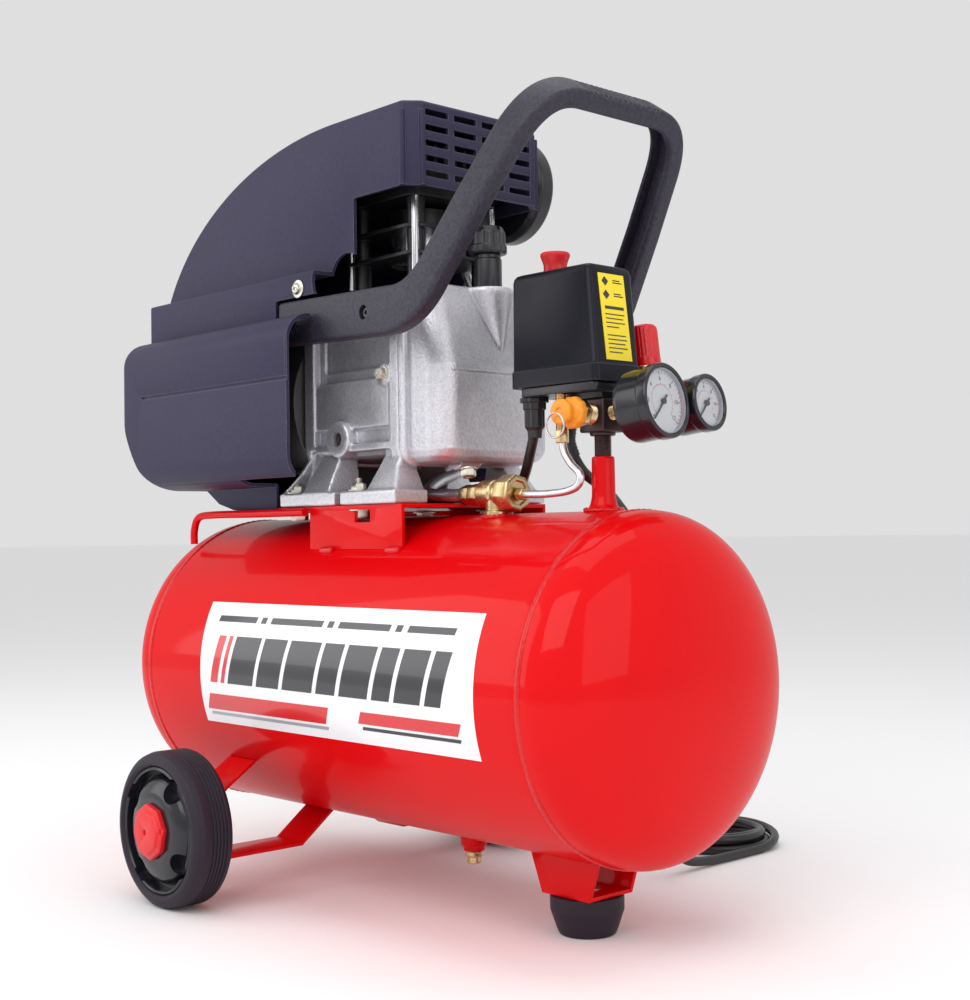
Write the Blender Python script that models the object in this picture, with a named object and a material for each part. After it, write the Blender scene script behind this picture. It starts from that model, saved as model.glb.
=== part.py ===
"""Hotdog air compressor: a 24 litre horizontal tank with a direct-driven piston pump on top.

Metres, +Z up. X runs along the tank, +X is the end with the gauges and the rubber foot, and the
wheels stand under the other end. Z = 0 is the floor and Y = 0 the middle plane of the tank.
Pieces that touch keep GAP between them. Each function below makes one piece or one group of them.
"""

import math

import bmesh
import bpy
from mathutils import Vector
from mathutils.geometry import interpolate_bezier

GAP = 0.0003

# Tank
TANK_Z = 0.177
TANK_R = 0.1225
TANK_WALL = 0.003
SHELL_HALF = 0.228
DOME_DEPTH = 0.054
TANK_TOP = TANK_Z + TANK_R

# Wheels and their brackets
WHEEL_X = -0.1145
WHEEL_R = 0.060
WHEEL_FACE_Y = 0.1835
TYRE_WIDTH = 0.0345
TYRE_BORE_R = 0.0490
AXLE_R = 0.006
STRAP_X = (-0.138, -0.102)
STRAP_THICKNESS = 0.003

# Front foot and drain
FOOT_X = 0.167
FOOT_HEIGHT = 0.028
DRAIN_X = 0.048

# Saddle that carries the pump
SADDLE_TOP = 0.3078
SADDLE_SHEET = 0.003
SADDLE_HALF = 0.0750
PUMP_FLOOR = SADDLE_TOP + GAP

# Pump and motor, all about one crankshaft axis
CRANK_Z = 0.392
STROKE = 0.041
BORE = 0.047
ROD_LENGTH = 0.108
CYL_X = -0.006
DECK_Z = 0.473
CYL_TOP = 0.545
FIN_HALF = 0.045
CASE_HALF = 0.058
FLANGE_FRONT = 0.040
FOOT_IN = 0.046
FOOT_OUT = 0.0785
PIN_Z = CRANK_Z + STROKE / 2 + ROD_LENGTH
STATOR_R = 0.074
STATOR_SPAN = (-0.188, -0.080)

# Plastic shroud and fan cover
REAR_X = -0.282
ARC_CENTRE = (-0.030, 0.440)
ARC_REACH = 0.2623
FLANK_HALF = 0.070
BAND_HALF = 0.088
COVER_HALF = 0.118
BAND_Z = (0.4568, 0.492)
COVER_Z = (0.325, 0.4565)
SHROUD_TOP = 0.609
SHROUD_FRONT = 0.0645
SHEET = 0.003
COVER_BEND = (-0.217, 0.4208)
COVER_FULLNESS = 1.7
DUCT_FRONT = -0.1045
DUCT_HALF = 0.0745

# Handle
HANDLE_THICK = 0.0145

# Pressure switch, manifold, regulator and gauges on the riser
RISER_X = 0.189
RISER_TOP = 0.338
MANIFOLD_Z = 0.3665
SWITCH_X = (0.1195, 0.2005)
SWITCH_HALF = 0.0240
SWITCH_Z = (0.3895, 0.4725)
SWITCH_LEAN = 0.075
SWITCH_BASE = 0.0062
GLAND_LENGTH = 0.020
KNOB_X = 0.1445
REGULATOR_X = 0.196
REGULATOR_Y = 0.046
KNOB_START = 0.0373
GAUGE_TILT = math.radians(7.0)
GAUGE_YAW = math.radians(5.5)

# Power cord
CORD_R = 0.004
COIL_CENTRE = (0.038, 0.300)
COIL_R = 0.046
COIL_BAND = 0.016
COIL_HEIGHT = 0.0175


def clear_scene():
    for item in list(bpy.data.objects):
        bpy.data.objects.remove(item, do_unlink=True)


def paint(item, colour, roughness, metallic=0.0):
    """Give the object its own Principled material."""
    surface = bpy.data.materials.new(item.name + "_surface")
    surface.use_nodes = True
    shader = surface.node_tree.nodes["Principled BSDF"]
    shader.inputs["Base Color"].default_value = (*colour, 1.0)
    shader.inputs["Roughness"].default_value = roughness
    shader.inputs["Metallic"].default_value = metallic
    item.data.materials.clear()
    item.data.materials.append(surface)
    return item


RED = ((0.72, 0.02, 0.02), 0.25)
BLACK = ((0.03, 0.03, 0.035), 0.5)
DARK_PLASTIC = ((0.06, 0.06, 0.075), 0.55)
RUBBER = ((0.025, 0.025, 0.03), 0.8)
CAST = ((0.62, 0.62, 0.64), 0.45, 0.9)
STEEL = ((0.55, 0.55, 0.56), 0.3, 1.0)
DARK_STEEL = ((0.10, 0.07, 0.07), 0.4, 0.8)
BRASS = ((0.72, 0.55, 0.30), 0.3, 1.0)
RED_PLASTIC = ((0.75, 0.02, 0.02), 0.35)


def finish(item, look, shade_angle=35.0):
    item.data.shade_smooth()
    item.data.set_sharp_from_angle(angle=math.radians(shade_angle))
    return paint(item, *look)


def loft(name, rings, closed=False):
    """Skin rings of points in order; the ends are capped, or joined when closed is set."""
    count = len(rings[0])
    points = [tuple(point) for ring in rings for point in ring]
    faces = []
    steps = len(rings) if closed else len(rings) - 1
    for step in range(steps):
        low = step * count
        high = ((step + 1) % len(rings)) * count
        for k in range(count):
            after = (k + 1) % count
            faces.append((low + k, low + after, high + after, high + k))
    if not closed:
        faces.append(tuple(range(count)))
        faces.append(tuple(range((len(rings) - 1) * count, len(rings) * count)))
    mesh = bpy.data.meshes.new(name)
    mesh.from_pydata(points, [], faces)
    work = bmesh.new()
    work.from_mesh(mesh)
    bmesh.ops.recalc_face_normals(work, faces=work.faces)
    work.to_mesh(mesh)
    work.free()
    item = bpy.data.objects.new(name, mesh)
    bpy.context.scene.collection.objects.link(item)
    return item


def on_axis(axis, across, up, along):
    """A point from two coordinates across an axis and one along it."""
    if axis == "X":
        return (along, across, up)
    if axis == "Y":
        return (across, along, up)
    return (across, up, along)


def turned(name, profile, axis, centre, sides=32, turn=0.0):
    """A turned body from (radius, height) points: a solid when both ends lie on the axis, or a
    ring when the profile is a loop clear of it."""
    solid = profile[0][0] == 0.0
    kept = [point for point in profile if point[0] > 0.0]
    rings = []
    for radius, height in kept:
        ring = []
        for k in range(sides):
            angle = turn + 2 * math.pi * k / sides
            offset = on_axis(axis, radius * math.cos(angle), radius * math.sin(angle), height)
            ring.append(Vector(centre) + Vector(offset))
        rings.append(ring)
    return loft(name, rings, closed=not solid)


def rod(name, radius, start, end, axis, centre, sides=24, turn=0.0):
    """A plain cylinder between two heights on an axis through centre."""
    profile = [(0.0, start), (radius, start), (radius, end), (0.0, end)]
    return turned(name, profile, axis, centre, sides, turn)


def sleeve(name, outer, inner, start, end, axis, centre, sides=24):
    """A plain ring with a square section."""
    profile = [(outer, start), (outer, end), (inner, end), (inner, start)]
    return turned(name, profile, axis, centre, sides)


def rounded_rectangle(half_u, half_v, radius, steps=3, middle=(0.0, 0.0)):
    """Outline of a rectangle with round corners, counterclockwise."""
    outline = []
    corners = ((1, 1, 0.0), (-1, 1, 0.5), (-1, -1, 1.0), (1, -1, 1.5))
    for side_u, side_v, start in corners:
        for k in range(steps + 1):
            angle = math.pi * (start + 0.5 * k / steps)
            u = side_u * (half_u - radius) + radius * math.cos(angle)
            v = side_v * (half_v - radius) + radius * math.sin(angle)
            outline.append((middle[0] + u, middle[1] + v))
    return outline


def prism(name, outline, low, high, axis):
    """An outline carried straight along an axis."""
    rings = [[on_axis(axis, u, v, level) for u, v in outline] for level in (low, high)]
    return loft(name, rings)


def box(name, x, y, z):
    outline = [(x[0], y[0]), (x[1], y[0]), (x[1], y[1]), (x[0], y[1])]
    return prism(name, outline, z[0], z[1], "Z")


def pillow(name, half_u, half_v, corner, low, high, axis, middle, edges):
    """A rounded block whose two ends are drawn in by the edge radii (low end, high end)."""
    rings = []
    steps = 2
    levels = []
    if edges[0] > 0:
        for k in range(steps):
            angle = 0.5 * math.pi * k / steps
            levels.append((low + edges[0] * (1 - math.cos(angle)), edges[0] * (1 - math.sin(angle))))
    levels.append((low + edges[0], 0.0))
    levels.append((high - edges[1], 0.0))
    if edges[1] > 0:
        for k in range(1, steps + 1):
            angle = 0.5 * math.pi * k / steps
            levels.append((high - edges[1] * (1 - math.sin(angle)), edges[1] * (1 - math.cos(angle))))
    for level, inset in levels:
        radius = max(corner - inset, 0.001)
        outline = rounded_rectangle(half_u - inset, half_v - inset, radius, 3, middle)
        rings.append([on_axis(axis, u, v, level) for u, v in outline])
    return loft(name, rings)


def combine(target, others, operation):
    """Join the others to the target, or cut them from it, and keep only the result."""
    for other in others:
        modifier = target.modifiers.new(operation.lower(), "BOOLEAN")
        modifier.operation = operation
        modifier.solver = "EXACT"
        modifier.object = other
        bpy.context.view_layer.update()
        shape = target.evaluated_get(bpy.context.evaluated_depsgraph_get())
        result = bpy.data.meshes.new_from_object(shape)
        target.modifiers.clear()
        target.data = result
        bpy.data.objects.remove(other, do_unlink=True)
    return target


def join(target, *others):
    return combine(target, others, "UNION")


def cut(target, *others):
    return combine(target, others, "DIFFERENCE")


def cut_tank_shape(target):
    """Trim a welded piece to the curve of the tank, a gap clear of it."""
    cutter = rod("tank_cutter", TANK_R + GAP, -0.27, 0.27, "X", (0, 0, TANK_Z), 96)
    return cut(target, cutter)


def origin_at(item, point):
    """Move the object's origin to a point on its joint axis, leaving the shape in place."""
    for vertex in item.data.vertices:
        vertex.co -= Vector(point)
    item.location = point
    return item


def strip_outline(route, thickness):
    """Outline of a bent flat bar whose middle line is the route."""
    left = []
    right = []
    for k, point in enumerate(route):
        here = Vector(point)
        before = Vector(route[max(k - 1, 0)])
        after = Vector(route[min(k + 1, len(route) - 1)])
        back = (here - before).normalized() if k > 0 else (after - here).normalized()
        ahead = (after - here).normalized() if k < len(route) - 1 else back
        normal = Vector((-(back + ahead).y, (back + ahead).x)).normalized()
        lean = max(normal.dot(Vector((-back.y, back.x))), 0.5)
        offset = normal * (thickness / 2 / lean)
        left.append(tuple(here + offset))
        right.append(tuple(here - offset))
    return left + right[::-1]


def smooth_route(route, spacing):
    """Evenly spaced points on a smooth curve through the route's points."""
    points = [Vector(point) for point in route]
    fine = []
    for k in range(len(points) - 1):
        start = points[k]
        end = points[k + 1]
        before = points[k - 1] if k > 0 else start - (end - start)
        after = points[k + 2] if k + 2 < len(points) else end + (end - start)
        reach = (end - start).length / 3
        lead = start + (end - before).normalized() * reach
        trail = end - (after - start).normalized() * reach
        fine.extend(interpolate_bezier(start, lead, trail, end, 24)[:-1])
    fine.append(points[-1])
    total = sum((b - a).length for a, b in zip(fine, fine[1:]))
    count = max(int(round(total / spacing)), 2)
    even = [fine[0]]
    walked = 0.0
    target = total / count
    for a, b in zip(fine, fine[1:]):
        step = (b - a).length
        while walked + step >= target and len(even) < count:
            even.append(a.lerp(b, (target - walked) / step))
            target += total / count
        walked += step
    even.append(fine[-1])
    return even


def tube(name, route, radius, spacing, resolution=2):
    """A round tube with filled ends along a smooth curve through the route."""
    line = bpy.data.curves.new(name, "CURVE")
    line.dimensions = "3D"
    line.bevel_depth = radius
    line.bevel_resolution = resolution
    line.render_resolution_u = 0
    line.use_fill_caps = True
    points = smooth_route(route, spacing)
    spline = line.splines.new("POLY")
    spline.points.add(len(points) - 1)
    for k, point in enumerate(points):
        spline.points[k].co = (*point, 1.0)
    item = bpy.data.objects.new(name, line)
    bpy.context.scene.collection.objects.link(item)
    return item


def paint_tube(item, look):
    return paint(item, *look)


# ---------------------------------------------------------------- tank

def dome_profile(radius, depth, steps, fullness=2.3):
    """Quarter of a full-bodied ellipse from near the axis out to the rim."""
    points = []
    for k in range(steps):
        angle = 0.5 * math.pi * (k + 0.35) / (steps - 0.65)
        along = depth * abs(math.cos(angle)) ** (2 / fullness)
        across = radius * abs(math.sin(angle)) ** (2 / fullness)
        points.append((across, along))
    points[-1] = (radius, 0.0)
    return points


def make_tank():
    centre = (0, 0, TANK_Z)
    shell = sleeve("tank_shell", TANK_R, TANK_R - TANK_WALL, -SHELL_HALF + GAP / 2,
                   SHELL_HALF - GAP / 2, "X", centre, 40)
    finish(shell, RED)
    for name, side in (("tank_head_front", 1), ("tank_head_rear", -1)):
        outer = dome_profile(TANK_R, DOME_DEPTH, 6)
        inner = dome_profile(TANK_R - TANK_WALL, DOME_DEPTH - TANK_WALL, 4)
        profile = [(0.0, DOME_DEPTH)] + outer + inner[::-1] + [(0.0, DOME_DEPTH - TANK_WALL)]
        start = side * (SHELL_HALF + GAP / 2)
        profile = [(radius, start + side * height) for radius, height in profile]
        finish(turned(name, profile, "X", centre, 40), RED)


def make_riser():
    flare = 0.0105
    profile = [(0.0, TANK_TOP - 0.010), (flare + 0.003, TANK_TOP - 0.010),
               (flare + 0.003, TANK_TOP - 0.001), (0.0085, TANK_TOP + 0.005),
               (0.0082, RISER_TOP), (0.0, RISER_TOP)]
    pipe = turned("riser_pipe", profile, "Z", (RISER_X, 0, 0), 24)
    finish(cut_tank_shape(pipe), RED)


def make_drain():
    bottom = TANK_Z - TANK_R
    profile = [(0.0, bottom + 0.010), (0.0115, bottom + 0.010), (0.0100, bottom - 0.004),
               (0.0085, bottom - 0.0135), (0.0, bottom - 0.0135)]
    bung = turned("drain_bung", profile, "Z", (DRAIN_X, 0, 0), 24)
    finish(cut_tank_shape(bung), RED)
    top = bottom - 0.0135 - GAP
    profile = [(0.0, top), (0.0075, top), (0.0075, top - 0.0045), (0.0054, top - 0.0047),
               (0.0054, top - 0.0095), (0.0, top - 0.0095)]
    valve = turned("drain_valve", profile, "Z", (DRAIN_X, 0, 0), 6)
    finish(origin_at(valve, (DRAIN_X, 0, top)), BRASS)


def make_front_foot():
    plate_z = FOOT_HEIGHT + GAP
    half = 0.0225
    bracket = box("foot_bracket", (FOOT_X - 0.023, FOOT_X + 0.023), (-half, half),
                  (plate_z, plate_z + SADDLE_SHEET))
    for side in (-1, 1):
        outline = [(FOOT_X - 0.023, plate_z), (FOOT_X + 0.023, plate_z),
                   (FOOT_X + 0.034, 0.062), (FOOT_X - 0.036, 0.062)]
        inner = side * (half - SADDLE_SHEET)
        outer = side * half
        join(bracket, prism("flange", outline, min(inner, outer), max(inner, outer), "Y"))
    finish(cut_tank_shape(bracket), RED)
    profile = [(0.0, FOOT_HEIGHT), (0.0265, FOOT_HEIGHT), (0.0262, 0.017), (0.0222, 0.005),
               (0.0195, 0.0), (0.0, 0.0)]
    foot = turned("front_foot", profile, "Z", (FOOT_X, 0, 0), 32)
    finish(foot, RUBBER)


def make_wheel(side, label):
    """One wheel with its tyre, hub, hub cap and welded bracket. side is -1 for the near one."""
    axis_point = (WHEEL_X, side * WHEEL_FACE_Y, WHEEL_R)
    inner_y = WHEEL_FACE_Y - TYRE_WIDTH
    groove = 0.0012
    tyre_loop = [(TYRE_BORE_R, inner_y), (WHEEL_R - 0.005, inner_y), (WHEEL_R, inner_y + 0.003),
                 (WHEEL_R, inner_y + 0.0095), (WHEEL_R - groove, inner_y + 0.0105),
                 (WHEEL_R, inner_y + 0.0115), (WHEEL_R, inner_y + 0.0185),
                 (WHEEL_R - groove, inner_y + 0.0195), (WHEEL_R, inner_y + 0.0205),
                 (WHEEL_R, inner_y + 0.0285), (WHEEL_R - 0.0045, WHEEL_FACE_Y),
                 (TYRE_BORE_R + 0.001, WHEEL_FACE_Y), (TYRE_BORE_R, WHEEL_FACE_Y - 0.001)]
    tyre_loop = [(radius, side * along) for radius, along in tyre_loop]
    tyre = turned("tyre_" + label, tyre_loop, "Y", (WHEEL_X, 0, WHEEL_R), 36)
    finish(origin_at(tyre, axis_point), RUBBER)

    bore = AXLE_R + GAP
    rim = TYRE_BORE_R - GAP
    hub_loop = [(bore, inner_y - 0.003), (0.016, inner_y - 0.003), (0.018, inner_y + 0.008),
                (rim, inner_y + 0.008), (rim, WHEEL_FACE_Y - 0.010), (0.0435, WHEEL_FACE_Y - 0.010),
                (0.0400, WHEEL_FACE_Y - 0.004), (0.0320, WHEEL_FACE_Y), (0.0215, WHEEL_FACE_Y + 0.002),
                (bore, WHEEL_FACE_Y + 0.002)]
    hub_loop = [(radius, side * along) for radius, along in hub_loop]
    hub = turned("wheel_hub_" + label, hub_loop, "Y", (WHEEL_X, 0, WHEEL_R), 28)
    finish(origin_at(hub, axis_point), BLACK)

    low = WHEEL_FACE_Y + 0.002 + GAP
    cap_line = [(0.0, low), (0.0215, low), (0.0215, low + 0.0040), (0.0180, low + 0.0065),
                (0.0, low + 0.0065)]
    cap_line = [(radius, side * along) for radius, along in cap_line]
    cap = turned("hub_cap_" + label, cap_line, "Y", (WHEEL_X, 0, WHEEL_R), 8)
    finish(origin_at(cap, axis_point), RED_PLASTIC)

    plate_y = inner_y - 0.003 - 2 * GAP - STRAP_THICKNESS / 2
    route = [(-0.092, 0.110), (-0.125, 0.088), (-plate_y, 0.072), (-plate_y, 0.046),
             (-plate_y + 0.012, 0.0325), (-0.054, 0.0325), (-0.018, 0.060)]
    route = [(-side * y, z) for y, z in route]
    bracket = prism("axle_bracket_" + label, strip_outline(route, STRAP_THICKNESS), *STRAP_X, "X")
    pin_ends = sorted((side * plate_y, side * (WHEEL_FACE_Y + 0.002)))
    join(bracket, rod("pin", AXLE_R, pin_ends[0], pin_ends[1], "Y", (WHEEL_X, 0, WHEEL_R), 20))
    finish(cut_tank_shape(bracket), RED)


def make_saddle():
    low = SADDLE_TOP - SADDLE_SHEET
    rear = -0.102
    front = 0.056
    saddle = box("pump_saddle", (rear, front), (-SADDLE_HALF, SADDLE_HALF), (low, SADDLE_TOP))
    for side in (-1, 1):
        faces = sorted((side * SADDLE_HALF, side * (SADDLE_HALF - SADDLE_SHEET)))
        join(saddle, box("flange", (-0.058, front), faces, (0.262, SADDLE_TOP - 0.0005)))
    finish(cut_tank_shape(saddle), RED)
    rail_r = 0.0032
    rail_z = SADDLE_TOP - rail_r - 0.001
    for side, name in ((-1, "rail_near"), (1, "rail_far")):
        y = side * (SADDLE_HALF + rail_r + GAP)
        route = [(-0.060, y, rail_z), (-0.130, y, rail_z), (-0.205, y, rail_z),
                 (-0.218, y, rail_z - 0.003), (-0.2235, y, rail_z - 0.013), (-0.2238, y, 0.2790)]
        paint_tube(tube(name, route, rail_r, 0.009), RED)


# ---------------------------------------------------------------- pump

def add_leg(case, side, pad, sections):
    """A bolted pad with a leg that narrows and leans in towards the case as it rises."""
    span = sorted((side * FOOT_IN, side * FOOT_OUT))
    join(case, box("pad", pad, span, (PUMP_FLOOR, PUMP_FLOOR + 0.0105)))
    rings = []
    for level, (rear, front), reach in sections:
        rings.append([(rear, side * FOOT_IN, level), (front, side * FOOT_IN, level),
                      (front, side * reach, level), (rear, side * reach, level)])
    join(case, loft("leg", rings))


def make_crankcase():
    rear = -0.066
    case = pillow("crankcase", CASE_HALF, (DECK_Z - 0.345) / 2, 0.012, rear, FLANGE_FRONT - 0.010,
                  "X", (0.0, (DECK_Z + 0.345) / 2), (0.0, 0.0))
    flanges = ((-0.077, rear + 0.001, 0.007, 0.340),
               (FLANGE_FRONT - 0.011, FLANGE_FRONT, 0.006, 0.337))
    for x0, x1, grow, low in flanges:
        middle = (0.0, (DECK_Z + low) / 2)
        flange = pillow("flange", CASE_HALF + grow, (DECK_Z - low) / 2, 0.014, x0, x1, "X",
                        middle, (0.0, 0.0))
        join(case, flange)
    for side in (-1, 1):
        add_leg(case, side, (-0.0945, -0.0220),
                [(PUMP_FLOOR + 0.0095, (-0.0925, -0.0300), FOOT_OUT),
                 (0.3325, (-0.0794, -0.0315), 0.0710), (0.350, (-0.0740, -0.0330), 0.0610),
                 (0.366, (-0.0740, -0.0330), 0.0560)])
        add_leg(case, side, (-0.0145, 0.0520),
                [(PUMP_FLOOR + 0.0040, (0.0115, 0.0515), FOOT_OUT - 0.0005),
                 (0.3360, (0.0170, 0.0395), 0.0650), (0.345, (0.0190, 0.0395), 0.0605),
                 (0.366, (0.0190, 0.0395), 0.0560)])
    for x, z, reach in ((-0.055, 0.4500, 0.0725), (0.030, 0.4470, 0.0825)):
        for side in (-1, 1):
            span = sorted((side * (CASE_HALF - 0.004), side * reach))
            join(case, rod("lug", 0.0075, span[0], span[1], "Y", (x, 0, z), 12))
    boss_y = -CASE_HALF - 0.010
    join(case, rod("boss", 0.013, boss_y, -CASE_HALF + 0.004, "Y", (-0.032, 0, 0.361), 16))
    cavity = box("cavity", (-0.060, FLANGE_FRONT + 0.01), (-0.050, 0.050), (0.352, 0.466))
    bore = rod("bore", 0.026, 0.46, 0.48, "Z", (CYL_X, 0, 0), 32)
    bearing = rod("bearing", 0.0093, -0.09, -0.05, "X", (0, 0, CRANK_Z), 24)
    finish(cut(case, cavity, bore, bearing), CAST)

    front = 0.0835
    low = 0.338
    middle = (0.0, (DECK_Z + low) / 2)
    half_z = (DECK_Z - low) / 2
    cover = pillow("crankcase_cover", CASE_HALF + 0.001, half_z, 0.016, FLANGE_FRONT + GAP, front,
                   "X", middle, (0.0, 0.009))
    hollow = pillow("hollow", CASE_HALF - 0.005, half_z - 0.006, 0.012, FLANGE_FRONT - 0.01,
                    front - 0.006, "X", middle, (0.0, 0.006))
    finish(cut(cover, hollow), CAST)


def make_breather():
    spot = (0.066, 0.006, 0)
    base = DECK_Z + GAP
    body_top = base + 0.026
    finish(rod("breather_body", 0.0108, base, body_top, "Z", spot, 20), BLACK)
    low = body_top + GAP
    profile = [(0.0, low), (0.0148, low), (0.0148, low + 0.016), (0.0120, low + 0.0215),
               (0.0, low + 0.0215)]
    cap = turned("breather_cap", profile, "Z", spot, 16)
    finish(origin_at(cap, (spot[0], spot[1], low)), BLACK)


def make_cylinder():
    base = DECK_Z + GAP
    cylinder = box("cylinder", (CYL_X - FIN_HALF, CYL_X + FIN_HALF), (-FIN_HALF, FIN_HALF),
                   (base, base + 0.008))
    join(cylinder, rod("barrel", 0.032, base + 0.004, CYL_TOP, "Z", (CYL_X, 0, 0), 32))
    fin_count = 5
    pitch = (CYL_TOP - base - 0.008) / fin_count
    for k in range(fin_count):
        top = CYL_TOP - k * pitch
        join(cylinder, box("fin", (CYL_X - FIN_HALF, CYL_X + FIN_HALF), (-FIN_HALF, FIN_HALF),
                           (top - 0.003, top)))
    cut(cylinder, rod("bore", BORE / 2 + GAP, base - 0.01, CYL_TOP + 0.01, "Z", (CYL_X, 0, 0), 36))
    finish(cylinder, BLACK)

    low = CYL_TOP + GAP
    head = box("cylinder_head", (CYL_X - FIN_HALF, CYL_X + FIN_HALF), (-FIN_HALF, FIN_HALF),
               (low, low + 0.022))
    for k in range(7):
        y = -0.0405 + 0.0135 * k
        join(head, box("fin", (CYL_X - FIN_HALF + 0.002, CYL_X + FIN_HALF - 0.002),
                       (y - 0.0013, y + 0.0013), (low + 0.021, low + 0.042)))
    finish(head, BLACK)

    spot = (0.014, 0, 0.568)
    low = FIN_HALF + GAP
    profile = [(0.0, low), (0.012, low), (0.012, FLANK_HALF + 0.002), (0.040, FLANK_HALF + 0.002),
               (0.043, FLANK_HALF + 0.005), (0.043, FLANK_HALF + 0.019), (0.039, FLANK_HALF + 0.023),
               (0.0, FLANK_HALF + 0.023)]
    intake = turned("intake_filter", profile, "Y", spot, 32)
    finish(intake, BLACK)


def make_crank_train():
    """Piston, rod and crankpin at top dead centre, and the crankshaft with rotor and fan."""
    crown = PIN_Z + 0.015
    skirt = PIN_Z - 0.017
    piston = turned("piston", [(0.0, crown), (BORE / 2, crown), (BORE / 2, skirt), (0.019, skirt),
                               (0.019, crown - 0.006), (0.0, crown - 0.006)],
                    "Z", (CYL_X, 0, 0), 36)
    join(piston, rod("wrist_pin", 0.006, CYL_X - 0.021, CYL_X + 0.021, "X", (0, 0, PIN_Z), 20))
    finish(origin_at(piston, (CYL_X, 0, PIN_Z)), STEEL)

    rod_half = 0.006
    big_z = PIN_Z - ROD_LENGTH
    span = (CYL_X - rod_half, CYL_X + rod_half)
    shank = box("connecting_rod", (CYL_X - 0.004, CYL_X + 0.004), (-0.006, 0.006),
                (big_z + 0.009, PIN_Z - 0.007))
    join(shank, rod("big_end", 0.0145, *span, "X", (0, 0, big_z), 28))
    join(shank, rod("small_end", 0.0086, *span, "X", (0, 0, PIN_Z), 24))
    cut(shank, rod("big_bore", 0.0080 + GAP, -0.05, 0.05, "X", (0, 0, big_z), 24),
        rod("small_bore", 0.0060 + GAP, -0.05, 0.05, "X", (0, 0, PIN_Z), 20))
    finish(origin_at(shank, (CYL_X, 0, PIN_Z)), STEEL)

    web_front = CYL_X - rod_half - 0.004
    pin = rod("crank_pin", 0.0080, web_front + GAP, span[1] + 0.003, "X", (0, 0, big_z), 24)
    finish(pin, STEEL)

    profile = [(0.0, -0.262), (0.0085, -0.262), (0.0085, web_front - 0.009),
               (0.031, web_front - 0.009), (0.031, web_front), (0.0, web_front)]
    shaft = turned("crankshaft", profile, "X", (0, 0, CRANK_Z), 28)
    finish(origin_at(shaft, (web_front, 0, CRANK_Z)), STEEL)

    sleeve_r = 0.0085 + GAP
    rotor = sleeve("rotor", 0.0430, sleeve_r, STATOR_SPAN[0] + 0.004, STATOR_SPAN[1] - 0.004, "X",
                   (0, 0, CRANK_Z), 32)
    finish(origin_at(rotor, (STATOR_SPAN[0], 0, CRANK_Z)), STEEL)
    stator = sleeve("stator", STATOR_R, 0.0436, *STATOR_SPAN, "X", (0, 0, CRANK_Z), 40)
    finish(stator, BLACK)
    bell_rear = STATOR_SPAN[0] - 0.018
    bell_loop = [(STATOR_R, STATOR_SPAN[0] - GAP), (STATOR_R - 0.006, bell_rear + 0.006),
                 (0.040, bell_rear), (sleeve_r, bell_rear), (sleeve_r, bell_rear + 0.008),
                 (0.036, bell_rear + 0.008), (STATOR_R - 0.012, STATOR_SPAN[0] - GAP)]
    finish(turned("motor_end_bell", bell_loop, "X", (0, 0, CRANK_Z), 36), CAST)

    fan_front = bell_rear - 0.004
    fan_rear = fan_front - 0.022
    fan = sleeve("cooling_fan", 0.024, sleeve_r, fan_rear, fan_front, "X", (0, 0, CRANK_Z), 24)
    blade_count = 8
    for k in range(blade_count):
        angle = 2 * math.pi * k / blade_count
        inner = 0.020
        outer = 0.050
        thick = 0.0012
        cosine = math.cos(angle)
        sine = math.sin(angle)
        corners = ((inner, -thick), (outer, -thick), (outer, thick), (inner, thick))
        outline = [(r * cosine - t * sine, CRANK_Z + r * sine + t * cosine) for r, t in corners]
        join(fan, prism("blade", outline, fan_rear + 0.002, fan_front - 0.002, "X"))
    finish(origin_at(fan, (fan_front, 0, CRANK_Z)), RED_PLASTIC)


# ---------------------------------------------------------------- plastic covers and handle

def shroud_outline(inset, low, rear, front):
    """Side view of the shroud: upright front, flat top and part of an ellipse down to the back."""
    centre_x, centre_z = ARC_CENTRE
    reach = ARC_REACH - inset
    rise = SHROUD_TOP - centre_z - inset
    outline = [(rear + inset, low), (front - inset, low), (front - inset, SHROUD_TOP - inset)]
    last = math.asin((BAND_Z[1] - centre_z) / rise)
    steps = 12
    for k in range(steps + 1):
        angle = math.pi / 2 + (math.pi / 2 - last) * k / steps
        outline.append((centre_x + reach * math.cos(angle), centre_z + rise * math.sin(angle)))
    return outline


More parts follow.
